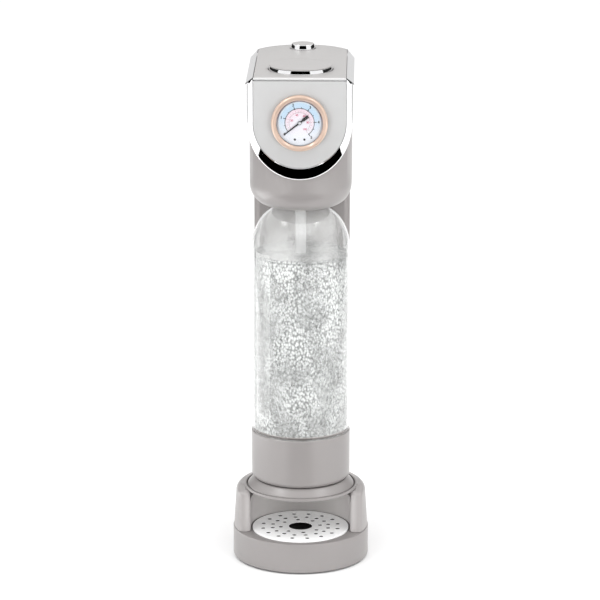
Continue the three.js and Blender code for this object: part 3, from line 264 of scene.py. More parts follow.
def skin(name, loops):
    """A solid over closed loops of points with as many points each."""
    count, rows = len(loops[0]), len(loops)
    verts = [v for loop in loops for v in loop]
    faces = []
    for low in range(0, (rows - 1) * count, count):
        faces += ring_faces(low, low + count, count)
    faces.append(tuple(range(count - 1, -1, -1)))
    faces.append(tuple(range((rows - 1) * count, rows * count)))
    return made_object(name, verts, faces)


def prism(name, outline, z0, z1, edge):
    """An upright prism with rounded upper and lower edges."""
    loops = []
    for z, sign, steps in ((z0, 1, (0, 1, 2, 3)), (z1, -1, (3, 2, 1, 0))):
        for k in steps:
            t = k / 3 * math.pi / 2
            height = z + sign * edge * (1 - math.cos(t))
            loops.append([(x, y, height) for x, y in inset(outline, edge * (1 - math.sin(t)))])
    return skin(name, loops)


def drawn_back(name, outline, y0, y1, edge):
    """A prism from an outline in X and Z, drawn along Y, with rounded front and back edges."""
    return placed(prism(name, outline, y0, y1, edge), lambda x, z, y: (x, y, z))


def pierced_disc(name, radius, cy, holes, z0, z1, edge):
    """A flat disc with round holes, given as (x, y, radius, sides), all with rounded upper edges."""
    verts, faces, flats = [], [], {}
    levels = ((0, z0), (0, z1 - edge), (0.3, z1 - edge * 0.3), (1, z1))
    for i, (cx, cyy, r, sides) in enumerate([(0, cy, radius, FINE), *holes]):
        outline = arc(cx, cyy, r, 0, 360, sides)[:-1]
        start = len(verts)
        for share, z in levels:
            scale = (r + (edge if i else -edge) * share) / r
            verts += [(cx + (x - cx) * scale, cyy + (y - cyy) * scale, z) for x, y in outline]
        for low in range(start, start + (len(levels) - 1) * sides, sides):
            faces += ring_faces(low, low + sides, sides)
        for row, z in ((0, z0), (len(levels) - 1, z1)):
            flats.setdefault(z, []).append(list(range(start + row * sides, start + (row + 1) * sides)))
    for rings in flats.values():
        ids = [v for ring_ids in rings for v in ring_ids]
        edges, first = [], 0
        for ring_ids in rings:
            edges += [face[:2] for face in ring_faces(first, first, len(ring_ids))]
            first += len(ring_ids)
        filled = delaunay_2d_cdt([Vector(verts[v][:2]) for v in ids], edges, [], 1, 1e-7)
        for face in filled[2]:
            middle = sum((filled[0][v] for v in face), Vector((0, 0))) / len(face)
            if all((middle - Vector(hole[:2])).length > hole[2] for hole in holes):
                faces.append([ids[filled[3][v][0]] for v in face])
    return made_object(name, verts, faces)


def cut(obj, *cutters, operation="DIFFERENCE"):
    """Cuts solids out of a solid, or unites them with it."""
    for cutter in cutters:
        modifier = obj.modifiers.new("cut", "BOOLEAN")
        modifier.operation = operation
        modifier.solver = "EXACT"
        modifier.object = cutter
    graph = bpy.context.evaluated_depsgraph_get()
    mesh = bpy.data.meshes.new_from_object(obj.evaluated_get(graph))
    old = obj.data
    obj.modifiers.clear()
    obj.data = mesh
    bpy.data.meshes.remove(old)
    for cutter in cutters:
        bpy.data.objects.remove(cutter)
    shaded(mesh)


def joined(name, *objects):
    """One object from several."""
    bm = bmesh.new()
    for obj in objects:
        bm.from_mesh(obj.data)
    mesh = bpy.data.meshes.new(name)
    bm.to_mesh(mesh)
    bm.free()
    for obj in objects:
        bpy.data.objects.remove(obj)
    shaded(mesh)
    return linked(name, mesh)


def dress(obj, material, body="frame", replaces=()):
    """Gives a piece its material and its body, and hides the CAD nodes that it stands for."""
    obj.data.materials.clear()
    obj.data.materials.append(material)
    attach(obj, body)
    if replaces:
        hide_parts(*replaces)


def second_look(obj, look, chosen):
    """Gives a second material to the faces that a test picks by their middle and direction."""
    obj.data.materials.append(look)
    for face in obj.data.polygons:
        if chosen(face.center, face.normal):
            face.material_index = 1


# Materials

def linear(r, g, b):
    """A colour given in sRGB from 0 to 255, as linear light."""
    def one(c):
        c /= 255
        return c / 12.92 if c <= 0.04045 else ((c + 0.055) / 1.055) ** 2.4
    return (one(r), one(g), one(b))


def new_material(name):
    """A new material, its node tree and its Principled shader."""
    made = bpy.data.materials.new(name)
    made.use_nodes = True
    return made, made.node_tree, made.node_tree.nodes["Principled BSDF"]


def set_inputs(node, **values):
    """Sets a node's inputs by name, with an underscore for each space."""
    for key, value in values.items():
        node.inputs[key.replace("_", " ")].default_value = value


def add_node(tree, kind, **values):
    made = tree.nodes.new("ShaderNode" + kind)
    set_inputs(made, **values)
    return made


def wire(tree, *links):
    """Adds links, each as a node with its output and a node with its input."""
    for source, output, target, socket in links:
        tree.links.new(source.outputs[output], target.inputs[socket])


def object_places(tree, scale):
    """The object's own coordinates, scaled along each axis."""
    mapping = add_node(tree, "Mapping", Scale=scale)
    wire(tree, (add_node(tree, "TexCoord"), "Object", mapping, "Vector"))
    return mapping


def ramp_node(tree, *stops):
    """A colour ramp with stops at the given positions."""
    made = add_node(tree, "ValToRGB")
    elements = made.color_ramp.elements
    for i, (position, color) in enumerate(stops):
        stop = elements[i] if i < 2 else elements.new(position)
        stop.position = position
        stop.color = (*color, 1)
    return made


def material(name, color, roughness, metallic=0.0, *, scale, grain=0.03, bump=0.02, rough_range=0.05,
             stretch=(1.0, 1.0, 1.0), **inputs):
    """A Principled material with a little variation in colour, gloss and relief."""
    made, tree, shader = new_material(name)
    set_inputs(shader, Metallic=metallic, **inputs)
    mapping = object_places(tree, stretch)
    noise = add_node(tree, "TexNoise", Scale=scale, Detail=4.0)
    tones = ramp_node(tree, (0.35, [max(0.0, c * (1 - grain)) for c in color]),
                      (0.65, [min(1.0, c * (1 + grain)) for c in color]))
    spread = add_node(tree, "MapRange", To_Min=max(0.0, roughness - rough_range),
                      To_Max=roughness + rough_range)
    wire(tree, (mapping, "Vector", noise, "Vector"), (noise, "Fac", tones, "Fac"),
         (tones, "Color", shader, "Base Color"), (noise, "Fac", spread, "Value"),
         (spread, "Result", shader, "Roughness"))
    if bump:
        fine = add_node(tree, "TexNoise", Scale=1500.0, Detail=2.0)
        relief = add_node(tree, "Bump", Strength=bump, Distance=0.0002)
        wire(tree, (mapping, "Vector", fine, "Vector"), (fine, "Fac", relief, "Height"),
             (relief, "Normal", shader, "Normal"))
    return made


def tint_and_light_overlay(tree, source, output, amount, *stops):
    """Lays the colours of a ramp, which a value runs along, over a material's own colour by an amount: the
    dial's printed tints and painted shadow, and the drum's painted light.
    """
    ramp_colours = ramp_node(tree, *((position, linear(*tint)) for position, *tint in stops))
    shader = tree.nodes["Principled BSDF"]
    plain = shader.inputs["Base Color"].links[0].from_socket
    mix = add_node(tree, "Mix")
    mix.data_type = "RGBA"
    tree.links.new(plain, mix.inputs[6])
    wire(tree, (source, output, ramp_colours, "Fac"), (amount, "Result", mix, 0), (ramp_colours, "Color", mix, 7),
         (mix, 2, shader, "Base Color"))


def paint(name):
    """The body's warm grey paint."""
    return material(name, linear(134, 130, 129), 0.3, scale=60, grain=0.006, bump=0.015,
                    rough_range=0.008, Specular_IOR_Level=0.7)


def drum_painted_light_material():
    """The body's paint with painted light: much lighter in the alcove and a little lighter on the horns, as
    if light from the front reached into the recess.
    """
    made = paint("drum_paint_painted_light")
    tree = made.node_tree
    coords = add_node(tree, "TexCoord")
    split = add_node(tree, "SeparateXYZ")
    side = add_node(tree, "Math")
    side.operation = "ABSOLUTE"
    reach = add_node(tree, "MapRange", From_Max=drum.r)
    front = add_node(tree, "MapRange", From_Min=AXIS + 55 * MM, From_Max=AXIS + 20 * MM)
    wire(tree, (coords, "Object", split, "Vector"), (split, "X", side, 0), (side, "Value", reach, "Value"),
         (split, "Y", front, "Value"))
    # Painted light: lighter colours across the alcove's walls and the horns' fronts, where the recess would
    # be in shade.
    tint_and_light_overlay(tree, reach, "Result", front, (0.0, 190, 187, 185), (0.5, 190, 187, 185),
           (0.73, 197, 193, 192), (0.86, 146, 142, 141), (1.0, 141, 137, 136))
    return made


def dial_material():
    """White, with a blue tint round the upper rim and a pink one inside the scale, and a painted shadow along
    the upper edge under the bezel.
    """
    made = material("dial_face", linear(203, 206, 212), 0.4, scale=300, grain=0.004, bump=0.0)
    tree = made.node_tree
    coords = add_node(tree, "TexCoord")
    shift = add_node(tree, "VectorMath")
    shift.operation = "SUBTRACT"
    shift.inputs[1].default_value = (dial.cx, dial.y0, dial.cz)
    length = add_node(tree, "VectorMath")
    length.operation = "LENGTH"
    rings = add_node(tree, "MapRange", From_Max=dial.r)
    split = add_node(tree, "SeparateXYZ")
    upper = add_node(tree, "MapRange", From_Min=-0.6 * dial.r, From_Max=0.3 * dial.r)
    wire(tree, (coords, "Object", shift, 0), (shift, "Vector", length, 0), (length, "Value", rings, "Value"),
         (shift, "Vector", split, "Vector"), (split, "Z", upper, "Value"))
    # The last stop is painted shadow: a dark band at the dial's upper edge, where the bezel shades it.
    tint_and_light_overlay(tree, rings, "Result", upper, (0.0, 203, 206, 213), (0.45, 207, 192, 201), (0.61, 206, 188, 198),
           (0.655, 168, 190, 208), (0.86, 174, 195, 212), (0.9, 196, 205, 213), (0.95, 118, 108, 114))
    return made


def glass(name, ior, tint):
    """A clear material that bends light, and lets lamps light what is behind it."""
    made, tree, shader = new_material(name)
    set_inputs(shader, Transmission_Weight=1.0, IOR=ior, Roughness=0.0)
    noise = add_node(tree, "TexNoise", Scale=25.0)
    tones = ramp_node(tree, (0.0, [c * 0.985 for c in tint]), (1.0, tint))
    clear = add_node(tree, "BsdfTransparent", Color=(*tint, 1))
    path = add_node(tree, "LightPath")
    most = add_node(tree, "Math")
    most.operation = "MAXIMUM"
    mix = add_node(tree, "MixShader")
    wire(tree, (noise, "Fac", tones, "Fac"), (tones, "Color", shader, "Base Color"),
         (path, "Is Shadow Ray", most, 0), (path, "Is Diffuse Ray", most, 1), (most, "Value", mix, "Fac"),
         (shader, "BSDF", mix, 1), (clear, "BSDF", mix, 2),
         (mix, "Shader", tree.nodes["Material Output"], "Surface"))
    return made


def haze_material(name, low, high, scale, strength):
    """White specks of foam with clear gaps between them, which glow a little as painted light."""
    made, tree, shader = new_material(name)
    # The glow is painted light, keeping the foam bright behind the glass.
    set_inputs(shader, Roughness=0.25, Emission_Strength=0.13)
    mapping = object_places(tree, (1.0, 1.0, 0.7))
    cells = add_node(tree, "TexVoronoi", Scale=scale)
    clouds = add_node(tree, "TexNoise", Scale=30.0, Detail=3.0)
    shares = ((0.0, 1.0), (0.24, 0.9), (0.36, 0.6), (0.52, 0.42), (0.72, 0.0))
    tones = ramp_node(tree, *((position, [a + (b - a) * share for a, b in zip(low, high)])
                              for position, share in shares))
    amount = add_node(tree, "MapRange", From_Min=0.4, From_Max=0.62, To_Min=strength * 0.2, To_Max=strength)
    relief = add_node(tree, "Bump", Strength=0.9, Distance=0.001)
    wire(tree, (mapping, "Vector", cells, "Vector"), (mapping, "Vector", clouds, "Vector"),
         (cells, "Distance", tones, "Fac"), (tones, "Color", shader, "Base Color"),
         (tones, "Color", shader, "Emission Color"),
         (clouds, "Fac", amount, "Value"), (amount, "Result", shader, "Alpha"),
         (cells, "Distance", relief, "Height"), (relief, "Normal", shader, "Normal"))
    return made


body_paint = paint("body_paint")
silver = material("satin_silver", linear(166, 164, 163), 0.4, 0.2, scale=90, grain=0.012, bump=0.01)
front_silver = material("front_silver", linear(182, 182, 182), 0.4, 0.2, scale=90, grain=0.012, bump=0.01)
chrome = material("chrome", (0.93, 0.93, 0.94), 0.04, 1.0, scale=30, grain=0.01, bump=0.0, rough_range=0.015)
# Painted highlight: a pale, glossier finish for the top plate's front edge, standing for the thin line of
# light along it.
edge_painted_highlight = material("edge_painted_highlight", linear(240, 240, 240), 0.2, 0.6, scale=80, grain=0.01, bump=0.0)
copper = material("copper", linear(217, 191, 174), 0.3, 0.55, scale=120, grain=0.02, bump=0.01)
# The grate's enamel glows a little: painted light that keeps it white in the shade of the bottle and the
# alcove.
glowing_enamel = material("white_enamel_painted_glow", linear(236, 236, 236), 0.35, scale=80, grain=0.006, bump=0.01,
                  Emission_Color=(1, 1, 0.99, 1), Emission_Strength=0.17)
black = material("black_print", linear(22, 22, 24), 0.5, scale=200, grain=0.05, bump=0.0)
inner_ink = material("inner_ink", linear(176, 86, 112), 0.5, scale=200, grain=0.05, bump=0.0)
dark_plastic = material("dark_plastic", linear(38, 38, 40), 0.5, scale=100, grain=0.08, bump=0.05)
rubber = material("rubber", linear(30, 30, 31), 0.8, scale=150, grain=0.1, bump=0.1)
steel = material("steel", (0.62, 0.63, 0.65), 0.28, 1.0, scale=60, grain=0.05, stretch=(1, 1, 12))
brass = material("brass", linear(214, 180, 110), 0.28, 1.0, scale=60, grain=0.06)
hose = material("hose", linear(140, 140, 143), 0.55, scale=90, grain=0.05)
gas_paint = material("gas_paint", linear(200, 203, 206), 0.32, 0.4, scale=50, grain=0.03)
# The tray's dark paint, also laid on the grate's hole walls and underside as painted shade.
pan_paint_and_hole_shade = material("pan_paint_and_hole_shade", linear(60, 58, 58), 0.45, scale=60, grain=0.05, bump=0.03)
nozzle_white = material("nozzle_white", linear(222, 222, 222), 0.25, scale=60, grain=0.02,
                        Transmission_Weight=0.15)
# Painted light: the cup's inside is paler than the body paint and glows a little, so it doesn't go dark
# behind the glass.
cup_inside_painted_light = material("cup_inside_painted_light", linear(190, 184, 182), 0.4, scale=60, grain=0.02, bump=0.0,
                      Emission_Color=(0.78, 0.72, 0.7, 1), Emission_Strength=0.25)
bubble_mirror = material("bubble_mirror", (0.93, 0.95, 0.95), 0.12, 0.9, scale=200, grain=0.05, bump=0.0)
bottle_clear = glass("bottle_clear", 1.48, (0.99, 0.992, 0.991))
water_clear = glass("water_clear", 1.33, (0.985, 0.989, 0.988))
lens_clear = glass("lens_clear", 1.2, (1.0, 1.0, 1.0))
haze_outer = haze_material("haze_outer", (0.26, 0.265, 0.26), (0.95, 0.96, 0.955), 560.0, 0.8)
haze_inner = haze_material("haze_inner", (0.3, 0.305, 0.3), (0.9, 0.91, 0.905), 430.0, 0.95)
mist = haze_material("mist", (0.66, 0.66, 0.655), (0.9, 0.9, 0.895), 700.0, 0.24)


# Base

def column_slot(low, high):
    """A cutter for the column's place: a D seen from above, with a flat front and a round back."""
    half, front, corner = column.r + FIT, column.y0 - FIT, COLUMN_CORNER
    outline = arc(0, COVER_CENTRE, half, 0, 180, 72)
    outline += arc(-half + corner, front + corner, corner, 180, 270, 24)
    outline += arc(half - corner, front + corner, corner, 270, 360, 24)
    return prism("slot", outline, low, high, 0)


def post_holes(radius, low, high):
    """Round holes at the places of the rest's two posts."""
    return [rod("hole", radius, low, high, x, AXIS + POST_BACK, 48) for x in (-POST_SIDE, POST_SIDE)]


def build_base():
    edge, over = 1.6 * MM, base.z1 + MM
    upper = softened(bar(0, base.r, base.z0, base.z1), 0.8 * MM, 4)[6:]
    body = lathe("lower_drum", [(0, base.z0), *arc(base.r - edge, base.z0 + edge, edge, -90, 0, 5), *upper])
    under = rod("under", base.r - WALL, -MM, pan.z0 - 3 * MM)
    well = rod("well", grate.r + 0.9 * MM, pan.z0 - FIT, over, cy=grate.cy)
    cut(body, under, well, column_slot(-10 * MM, over), *post_holes(4.2 * MM, 4.5 * MM, over))
    dress(body, body_paint, replaces=["base_pan"])


def drum_radius(z):
    """The upper drum's outer radius at a height: a slight taper, then a round shoulder."""
    bend = drum.z1 - SHOULDER
    if z <= bend:
        return drum.r - DRUM_TAPER * (z - drum.z0) / (bend - drum.z0)
    rise = min(1.0, (z - bend) / SHOULDER)
    return drum.r - DRUM_TAPER - SHOULDER * (1 - math.sqrt(1 - rise ** 2))


def window_loop(z):
    """The upper drum's outline at a height: round outside, with the alcove let in from the front."""
    radius, corner = drum_radius(z), HORN_ROUND
    tray_y = grate.cy - AXIS
    centre_x = ALCOVE_RADIUS + corner
    centre_y = -math.sqrt(max((radius - corner) ** 2 - centre_x ** 2, 0.0))
    lean = math.degrees(math.atan2(centre_y, centre_x))
    points = arc(0, 0, radius, lean, 180 - lean, 150)
    points += arc(-centre_x, centre_y, corner, 180 - lean, 360, 14)[1:]
    straight = np.linspace(centre_y, tray_y, 8)[1:-1]
    points += [(-ALCOVE_RADIUS, y) for y in straight]
    points += arc(0, tray_y, ALCOVE_RADIUS, 180, 0, 70)
    points += [(ALCOVE_RADIUS, y) for y in straight[::-1]]
    points += arc(centre_x, centre_y, corner, 180, 360 + lean, 14)[:-1]
    return [(x, y + AXIS, z) for x, y in points]


def build_drum():
    """The upper drum with its alcove, and the thin lip round the rest."""
    bend, over = drum.z1 - SHOULDER, drum.z1 + MM
    heights = [drum.z0, *np.linspace(drum.z0 + FIT, bend, 8)]
    heights += [bend + SHOULDER * math.sin(math.radians(a)) for a in (12, 24, 36, 48, 60, 70)]
    body = skin("upper_drum", [window_loop(z) for z in heights])
    shelf = drum.z1 - SHELF_DROP
    bore = rod("bore", LIP_RADIUS, shelf, over)
    cut(body, bore, column_slot(0, over), *post_holes(3.6 * MM, drum.z0 - MM, shelf + MM))
    low, inner = drum.z1 - LIP_HEIGHT, LIP_RADIUS - 0.02 * MM
    section = softened(bar(inner, inner + LIP_WIDTH, low, drum.z1), 0.7 * MM, 4, closed=True)
    lip = lathe("lip", section, sides=200)
    cut(lip, column_slot(0, over))
    wall = joined("upper_drum_wall", body, lip)
    dress(wall, drum_painted_light_material(), replaces=["drum_shell"])

    def on_lip(centre, _):
        margin = 0.2 * MM
        reach = math.hypot(centre.x, centre.y - AXIS)
        return inner - margin < reach < inner + LIP_WIDTH + margin and centre.z > low - margin

    # The lip keeps the plain paint, without the drum's painted light.
    second_look(wall, body_paint, on_lip)


def build_rest():
    """The sprung cone that the bottle stands on, with its two posts."""
    cone_low, cone_top, cone_radius = drum.z1, rest.z1, 41.5 * MM
    skirt = cone_low - 3 * MM
    profile = [(CENTRE_HOLE, cone_top), (cone_radius, cone_top), (rest.r, cone_low), (rest.r, skirt),
               (rest.r - WALL, skirt), (rest.r - WALL, cone_low - WALL / 2),
               (cone_radius - WALL / 2, cone_top - WALL), (CENTRE_HOLE, cone_top - WALL)]
    body = lathe("rest_cone", softened(profile, 0.8 * MM, 4, closed=True))
    post = softened(bar(0, 3 * MM, rest.z0, cone_low), 0.4 * MM)
    posts = [lathe("post", post, x, AXIS + POST_BACK, 32) for x in (-POST_SIDE, POST_SIDE)]
    dress(joined("sprung_rest", body, *posts), body_paint, "rest", ["bottle_rest"])


def build_tray():
    """The white grate with its holes and the dark tray under it."""
    holes = [(0, grate.cy, CENTRE_HOLE, 64)]
    for radius, count, share in ((34, 16, 0.5), (25.3, 16, 0.5), (17.8, 8, 0.2)):
        for i in range(count):
            a = (i + share) / count * 2 * math.pi
            holes.append((radius * MM * math.cos(a), grate.cy + radius * MM * math.sin(a), DRAIN_HOLE, 20))
    low = grate.z1 - 0.7 * MM
    disc = pierced_disc("grate_sheet", grate.r, grate.cy, holes, low, grate.z1, 0.2 * MM)
    rim = lathe("rim", bar(grate.r - 1.4 * MM, grate.r, grate.z0, low), cy=grate.cy)
    disc = joined("grate_plate", disc, rim)
    dress(disc, glowing_enamel, "grate", ["drip_grate"])
    for face in disc.data.polygons:
        face.use_smooth = abs(face.normal.z) < 0.99
    # Painted shade: the hole walls and the underside take the tray's dark paint, so the holes read dark.
    second_look(disc, pan_paint_and_hole_shade, lambda centre, normal: normal.z < 0.3 and Vector(
        (centre.x, centre.y - grate.cy)).length < grate.r - 2 * MM)
    wall = 1.5 * MM
    bowl = lathe("drip_bowl", softened([(0, pan.z0), (pan.r, pan.z0), (pan.r, pan.z1), (pan.r - wall, pan.z1),
                                        (pan.r - wall, pan.z0 + wall), (0, pan.z0 + wall)], 0.6 * MM),
                 cy=grate.cy)
    dress(bowl, pan_paint_and_hole_shade, "tray", ["tray_pan"])


# Column

def build_column():
    half, centre, corner = column.r, COVER_CENTRE, COLUMN_CORNER
    side, front = half - corner, column.y0 + corner

    def face(wall):
        """The column's outline seen from above, from its left back edge round the front to the right."""
        points = [(-half + wall, centre), *arc(-side, front, corner - wall, 180, 270, 16)]
        return points + [*arc(side, front, corner - wall, 270, 360, 16), (half - wall, centre)]

    shell = prism("column_shell", face(WALL)[::-1] + face(0), column.z0, column.z1, 0.4 * MM)
    dress(shell, body_paint, replaces=["column_frame"])
    lean = math.degrees(math.asin((cover.y0 - centre) / half))
    back = arc(0, centre, half, lean, 180 - lean, 96) + arc(0, centre, half - WALL, 180 - lean, lean, 96)
    panel = prism("column_cover", back, cover.z0, cover.z1, 0.4 * MM)
    dress(panel, body_paint, "cover", ["rear_cover"])


# Head

def head_outline(grow):
    """The head seen from above: a half circle in front and half an ellipse behind."""
    half = collar.r + grow
    back = arc(0, COVER_CENTRE, half, 0, 180, 90, cover.y1 - COVER_CENTRE + grow)
    return back + arc(0, AXIS, half, 180, 360, 90)


def u_outline(half, drop, high):
    """A U seen from the front, straight above the gauge's axis and round below it."""
    return [(half, high), (-half, high), *arc(0, GAUGE_Z, half, 180, 360, 72, drop)]


def gauge_hole(depth):
    """A cutter for the gauge's case, from before the front plate's face to a depth behind it."""
    return turned_along_y("hole", bar(0, GAUGE_BORE, -5 * MM, depth))


def build_head():
    """The head's casing with its front box, and the collar over the bottle's neck."""
    shell = prism("head_shell", head_outline(0), head.z0, head.z1, 0)
    low, high, spread = collar.z0, head.z0, collar.r - COLLAR_OPENING
    bowl = lathe("bowl", [(0, high), *reversed(arc(COLLAR_OPENING, high, spread, -90, 0, 20, high - low)),
                          (COLLAR_OPENING - WALL, low), (COLLAR_OPENING - WALL, high - 4 * MM),
                          (0, high - 4 * MM)])
    drop = GAUGE_Z - trim.z0
    box_front, above = trim.y0 + BAND_DEPTH, head.z1 + 10 * MM
    cut(shell, drawn_back("front_box", u_outline(BAND_HALF_WIDTH, drop, head.z1), box_front, AXIS, 0),
        operation="UNION")
    room = prism("room", head_outline(-WALL), head.z0 + WALL, above, 0)
    front_room = drawn_back("front_room", u_outline(BAND_HALF_WIDTH - WALL, drop - WALL, above),
                            box_front + WALL, AXIS, 0)
    bores = [rod("bore", NECK_BORE, low - MM, high + 5 * MM),
             rod("bore", GAS_BORE, low - MM, high + 5 * MM, cy=GAS_AXIS)]
    cut(shell, room, front_room, *bores, gauge_hole(12 * MM))
    dress(joined("head_casing", shell, bowl), body_paint,
          replaces=["head_body", "bottle_collar"])


def build_front_plate():
    outline = u_outline(plate.r, GAUGE_Z - plate.z0, plate.z1)
    panel = drawn_back("front_panel", outline, plate.y0, plate.y1, 0.25 * MM)
    cut(panel, gauge_hole(5 * MM))
    dress(panel, front_silver, replaces=["front_plate"])


def top_arc():
    """The arc through the top plate's back corners and its furthest point."""
    corner_y = AXIS + 88 * MM
    rise = top.y1 - corner_y
    radius = (top.r ** 2 + rise ** 2) / (2 * rise)
    centre = top.y1 - radius
    return radius, centre, math.degrees(math.atan2(corner_y - centre, top.r))


def build_top():
    radius, centre, start = top_arc()
    outline = [(-top.r, top.y0), (top.r, top.y0), *arc(0, centre, radius, start, 180 - start, 60)]
    panel = prism("top_panel", outline, top.z0, top.z1, 0.8 * MM)
    cut(panel, *(rod("hole", node.r + 0.6 * MM, top.z0 - MM, top.z1 + MM, cy=node.cy, sides=96)
                 for node in (ring, vent)))
    dress(panel, silver, replaces=["top_plate"])
    # The front edge's faces get the painted highlight.
    second_look(panel, edge_painted_highlight,
                lambda centre, normal: centre.y < top.y0 + 0.7 * MM and normal.z < 0.97)


def band_section(inner, outer):
    """The band's section between its inner and outer edge: a slope with a rounded lip, then a wall."""
    (ix, iz), (ox, oz) = inner, outer
    front, slope, back = trim.y0, trim.y0 + BAND_SLOPE, trim.y0 + BAND_DEPTH
    shares = ((0.0, front + 0.25 * MM), (0.03, front), (0.87, slope - 0.3 * MM), (0.94, slope + 0.05 * MM),
              (0.985, slope + 0.4 * MM), (1.0, slope + 0.9 * MM), (1.0, back), (0.0, back))
    return [(ix + (ox - ix) * s, y, iz + (oz - iz) * s) for s, y in shares]


def wing_section(ix, iy, ox, oy):
    """The wing's section from the top plate's edge to its outer edge, with a rounded lip."""
    thick = 0.6 * MM
    shares = ((0.0, 0.0), (0.04, -0.02), (0.94, -0.9), (0.99, -1.0))
    points = [(ix + (ox - ix) * s, iy + (oy - iy) * s, trim.z1 + (trim.z1 - WING_EDGE) * d)
              for s, d in shares]
    return points + [(ox, oy, WING_EDGE - 0.4 * MM), (ox, oy, WING_EDGE - thick),
                     (ix, iy, trim.z1 - thick - FIT)]


def build_trim():
    """The polished band round the front plate, and its wing round the top plate."""
    inner, outer, drop = plate.r + FIT, BAND_HALF_WIDTH, GAUGE_Z - trim.z0
    under_top, under_edge = trim.z1 - 1.25 * MM, trim.z1 - 5.1 * MM
    straight = np.linspace(WING_EDGE - 2 * MM, GAUGE_Z, 6)[:-1]
    loops = [band_section((-inner, under_top), (-outer, under_edge))]
    loops += [band_section((-inner, z), (-outer, z)) for z in straight]
    for a in np.radians(np.linspace(180, 360, 97)):
        c, s = math.cos(a), math.sin(a)
        loops.append(band_section((inner * c, GAUGE_Z + inner * s), (outer * c, GAUGE_Z + drop * s)))
    loops += [band_section((inner, z), (outer, z)) for z in straight[::-1]]
    loops.append(band_section((inner, under_top), (outer, under_edge)))
    band = skin("band", loops)
    radius, centre, start = top_arc()
    side, reach, steps = top.r + FIT, trim.y1 - COVER_CENTRE, 72
    wings = [wing_section(side, y, trim.r, y) for y in np.linspace(trim.y0, AXIS, 6)]
    for k in range(steps + 1):
        a, b = math.radians(start + (180 - 2 * start) * k / steps), math.radians(180 * k / steps)
        wings.append(wing_section((radius + FIT) * math.cos(a), centre + (radius + FIT) * math.sin(a),
                                  trim.r * math.cos(b), COVER_CENTRE + reach * math.sin(b)))
    wings += [wing_section(-side, y, -trim.r, y) for y in np.linspace(AXIS, trim.y0, 6)]
    wing = skin("wing", wings)
    dress(joined("polished_band", band, wing), chrome, replaces=["chrome_trim"])


def build_buttons():
    """The push button, its ring and the relief knob."""
    rim = near(cap.r, cap.z1, (-2.2, -0.9), (-0.1, -0.9), (0, -0.7), (-0.25, -0.2), (-0.9, 0))
    dish = [(cap.r * 0.7, cap.z1 - 0.25 * MM), (cap.r * 0.35, cap.z1 - 0.4 * MM), (0, cap.z1 - 0.45 * MM)]
    disc = lathe("push_disc", [(0, cap.z0), (cap.r - 2.4 * MM, cap.z0), *rim, *dish], cy=cap.cy)
    dress(disc, silver, "button", ["button_cap"])
    hollow = ring.r - 2.2 * MM
    hoop = lathe("push_hoop", softened([(hollow, ring.z0), (ring.r, ring.z0), (ring.r, top.z1),
                                        (ring.r - 0.75 * MM, ring.z1), (hollow, ring.z1)],
                                       0.3 * MM, 4, closed=True), cy=ring.cy)
    dress(hoop, chrome, "button", ["button_ring"])
    crown = near(vent.r, vent.z1, (-0.6, -0.7), (-0.9, -0.25), (-1.7, 0), (-2.3, -0.15))
    knob = lathe("vent_knob", [(0, vent.z0), (vent.r, vent.z0), (vent.r, top.z1), *crown,
                               (0, vent.z1 - 0.4 * MM)], cy=vent.cy, sides=96)
    dress(knob, chrome, "vent", ["vent_cap"])
    second_look(knob, silver, lambda centre, normal: normal.z > 0.9)


# Bottle

def dome(radius, rise, neck, steps):
    """The bottle's shoulder as a quarter ellipse, up to the neck."""
    return arc(0, DOME_LOW, radius, 0, math.degrees(math.acos(neck / radius)), steps, rise)


def build_bottle():
    """The clear bottle, the water in it and the cup round its foot."""
    wall, bend, step = BOTTLE_WALL, FOOT_ROUND, cup.z1 + FIT
    sleeve, floor, ring_z = cup.r - 2.3 * MM, bottle.z0 + wall, DOME_LOW + DOME_RISE
    middle = sleeve * 0.45
    outer = [(0, bottle.z0 + 3 * MM), (middle, bottle.z0 + 0.8 * MM), (sleeve - bend, bottle.z0)]
    outer += arc(sleeve - bend, bottle.z0 + bend, bend, -90, 0, 6)[1:]
    outer += [(sleeve, step - 0.6 * MM), (bottle.r - 0.8 * MM, step), (bottle.r, step + 0.8 * MM)]
    outer += dome(bottle.r, DOME_RISE, NECK, 24)
    outer += softened([*near(NECK, ring_z, (0, -1.2), (0, 0), (2, 0), (2, 2.5), (0, 2.5)),
                       (NECK, bottle.z1)], 0.6 * MM)
    inner = [(NECK - wall, bottle.z1), *dome(bottle.r - wall, DOME_RISE - wall, NECK - wall, 24)[::-1]]

    def inside(gap):
        """The wall's inner side from the middle of the floor upwards, or a gap further in."""
        sink, low = sleeve - wall - gap, floor + gap
        return [(0, low + 3 * MM), (middle, low + 0.8 * MM), *arc(sink - bend, low + bend, bend, -90, 0, 6),
                (sink, step), (bottle.r - wall - gap, step + 3 * MM)]

    dress(lathe("clear_bottle", outer + inner + inside(0)[::-1], sides=160), bottle_clear, "bottle",
          ["bottle_body"])
    water = inside(0.05 * MM)
    water += [(water[-1][0], WATER_TOP), (0, WATER_TOP)]
    dress(lathe("water", water, sides=160), water_clear, "bottle")
    shell = lathe("cup_shell", [
        (0, cup.z0), *arc(cup.r - 5 * MM, cup.z0 + 5 * MM, 5 * MM, -90, 0, 10),
        *near(cup.r, cup.z1, (0, -0.5), (-0.5, 0), (-1.5, 0), (-2, -0.5)),
        *near(cup.r, cup.z0, (-2, 8), (-8, 2)), (0, cup.z0 + 2 * MM)])
    dress(shell, body_paint, "bottle", ["bottle_cup"])

    def inside_cup(centre, normal):
        outwards = Vector((centre.x, centre.y - AXIS)).normalized().dot(normal.xy)
        return outwards < -0.1 or (normal.z > 0.6 and centre.z < cup.z1 - 2 * MM)

    # The cup's inner faces get the painted light.
    second_look(shell, cup_inside_painted_light, inside_cup)


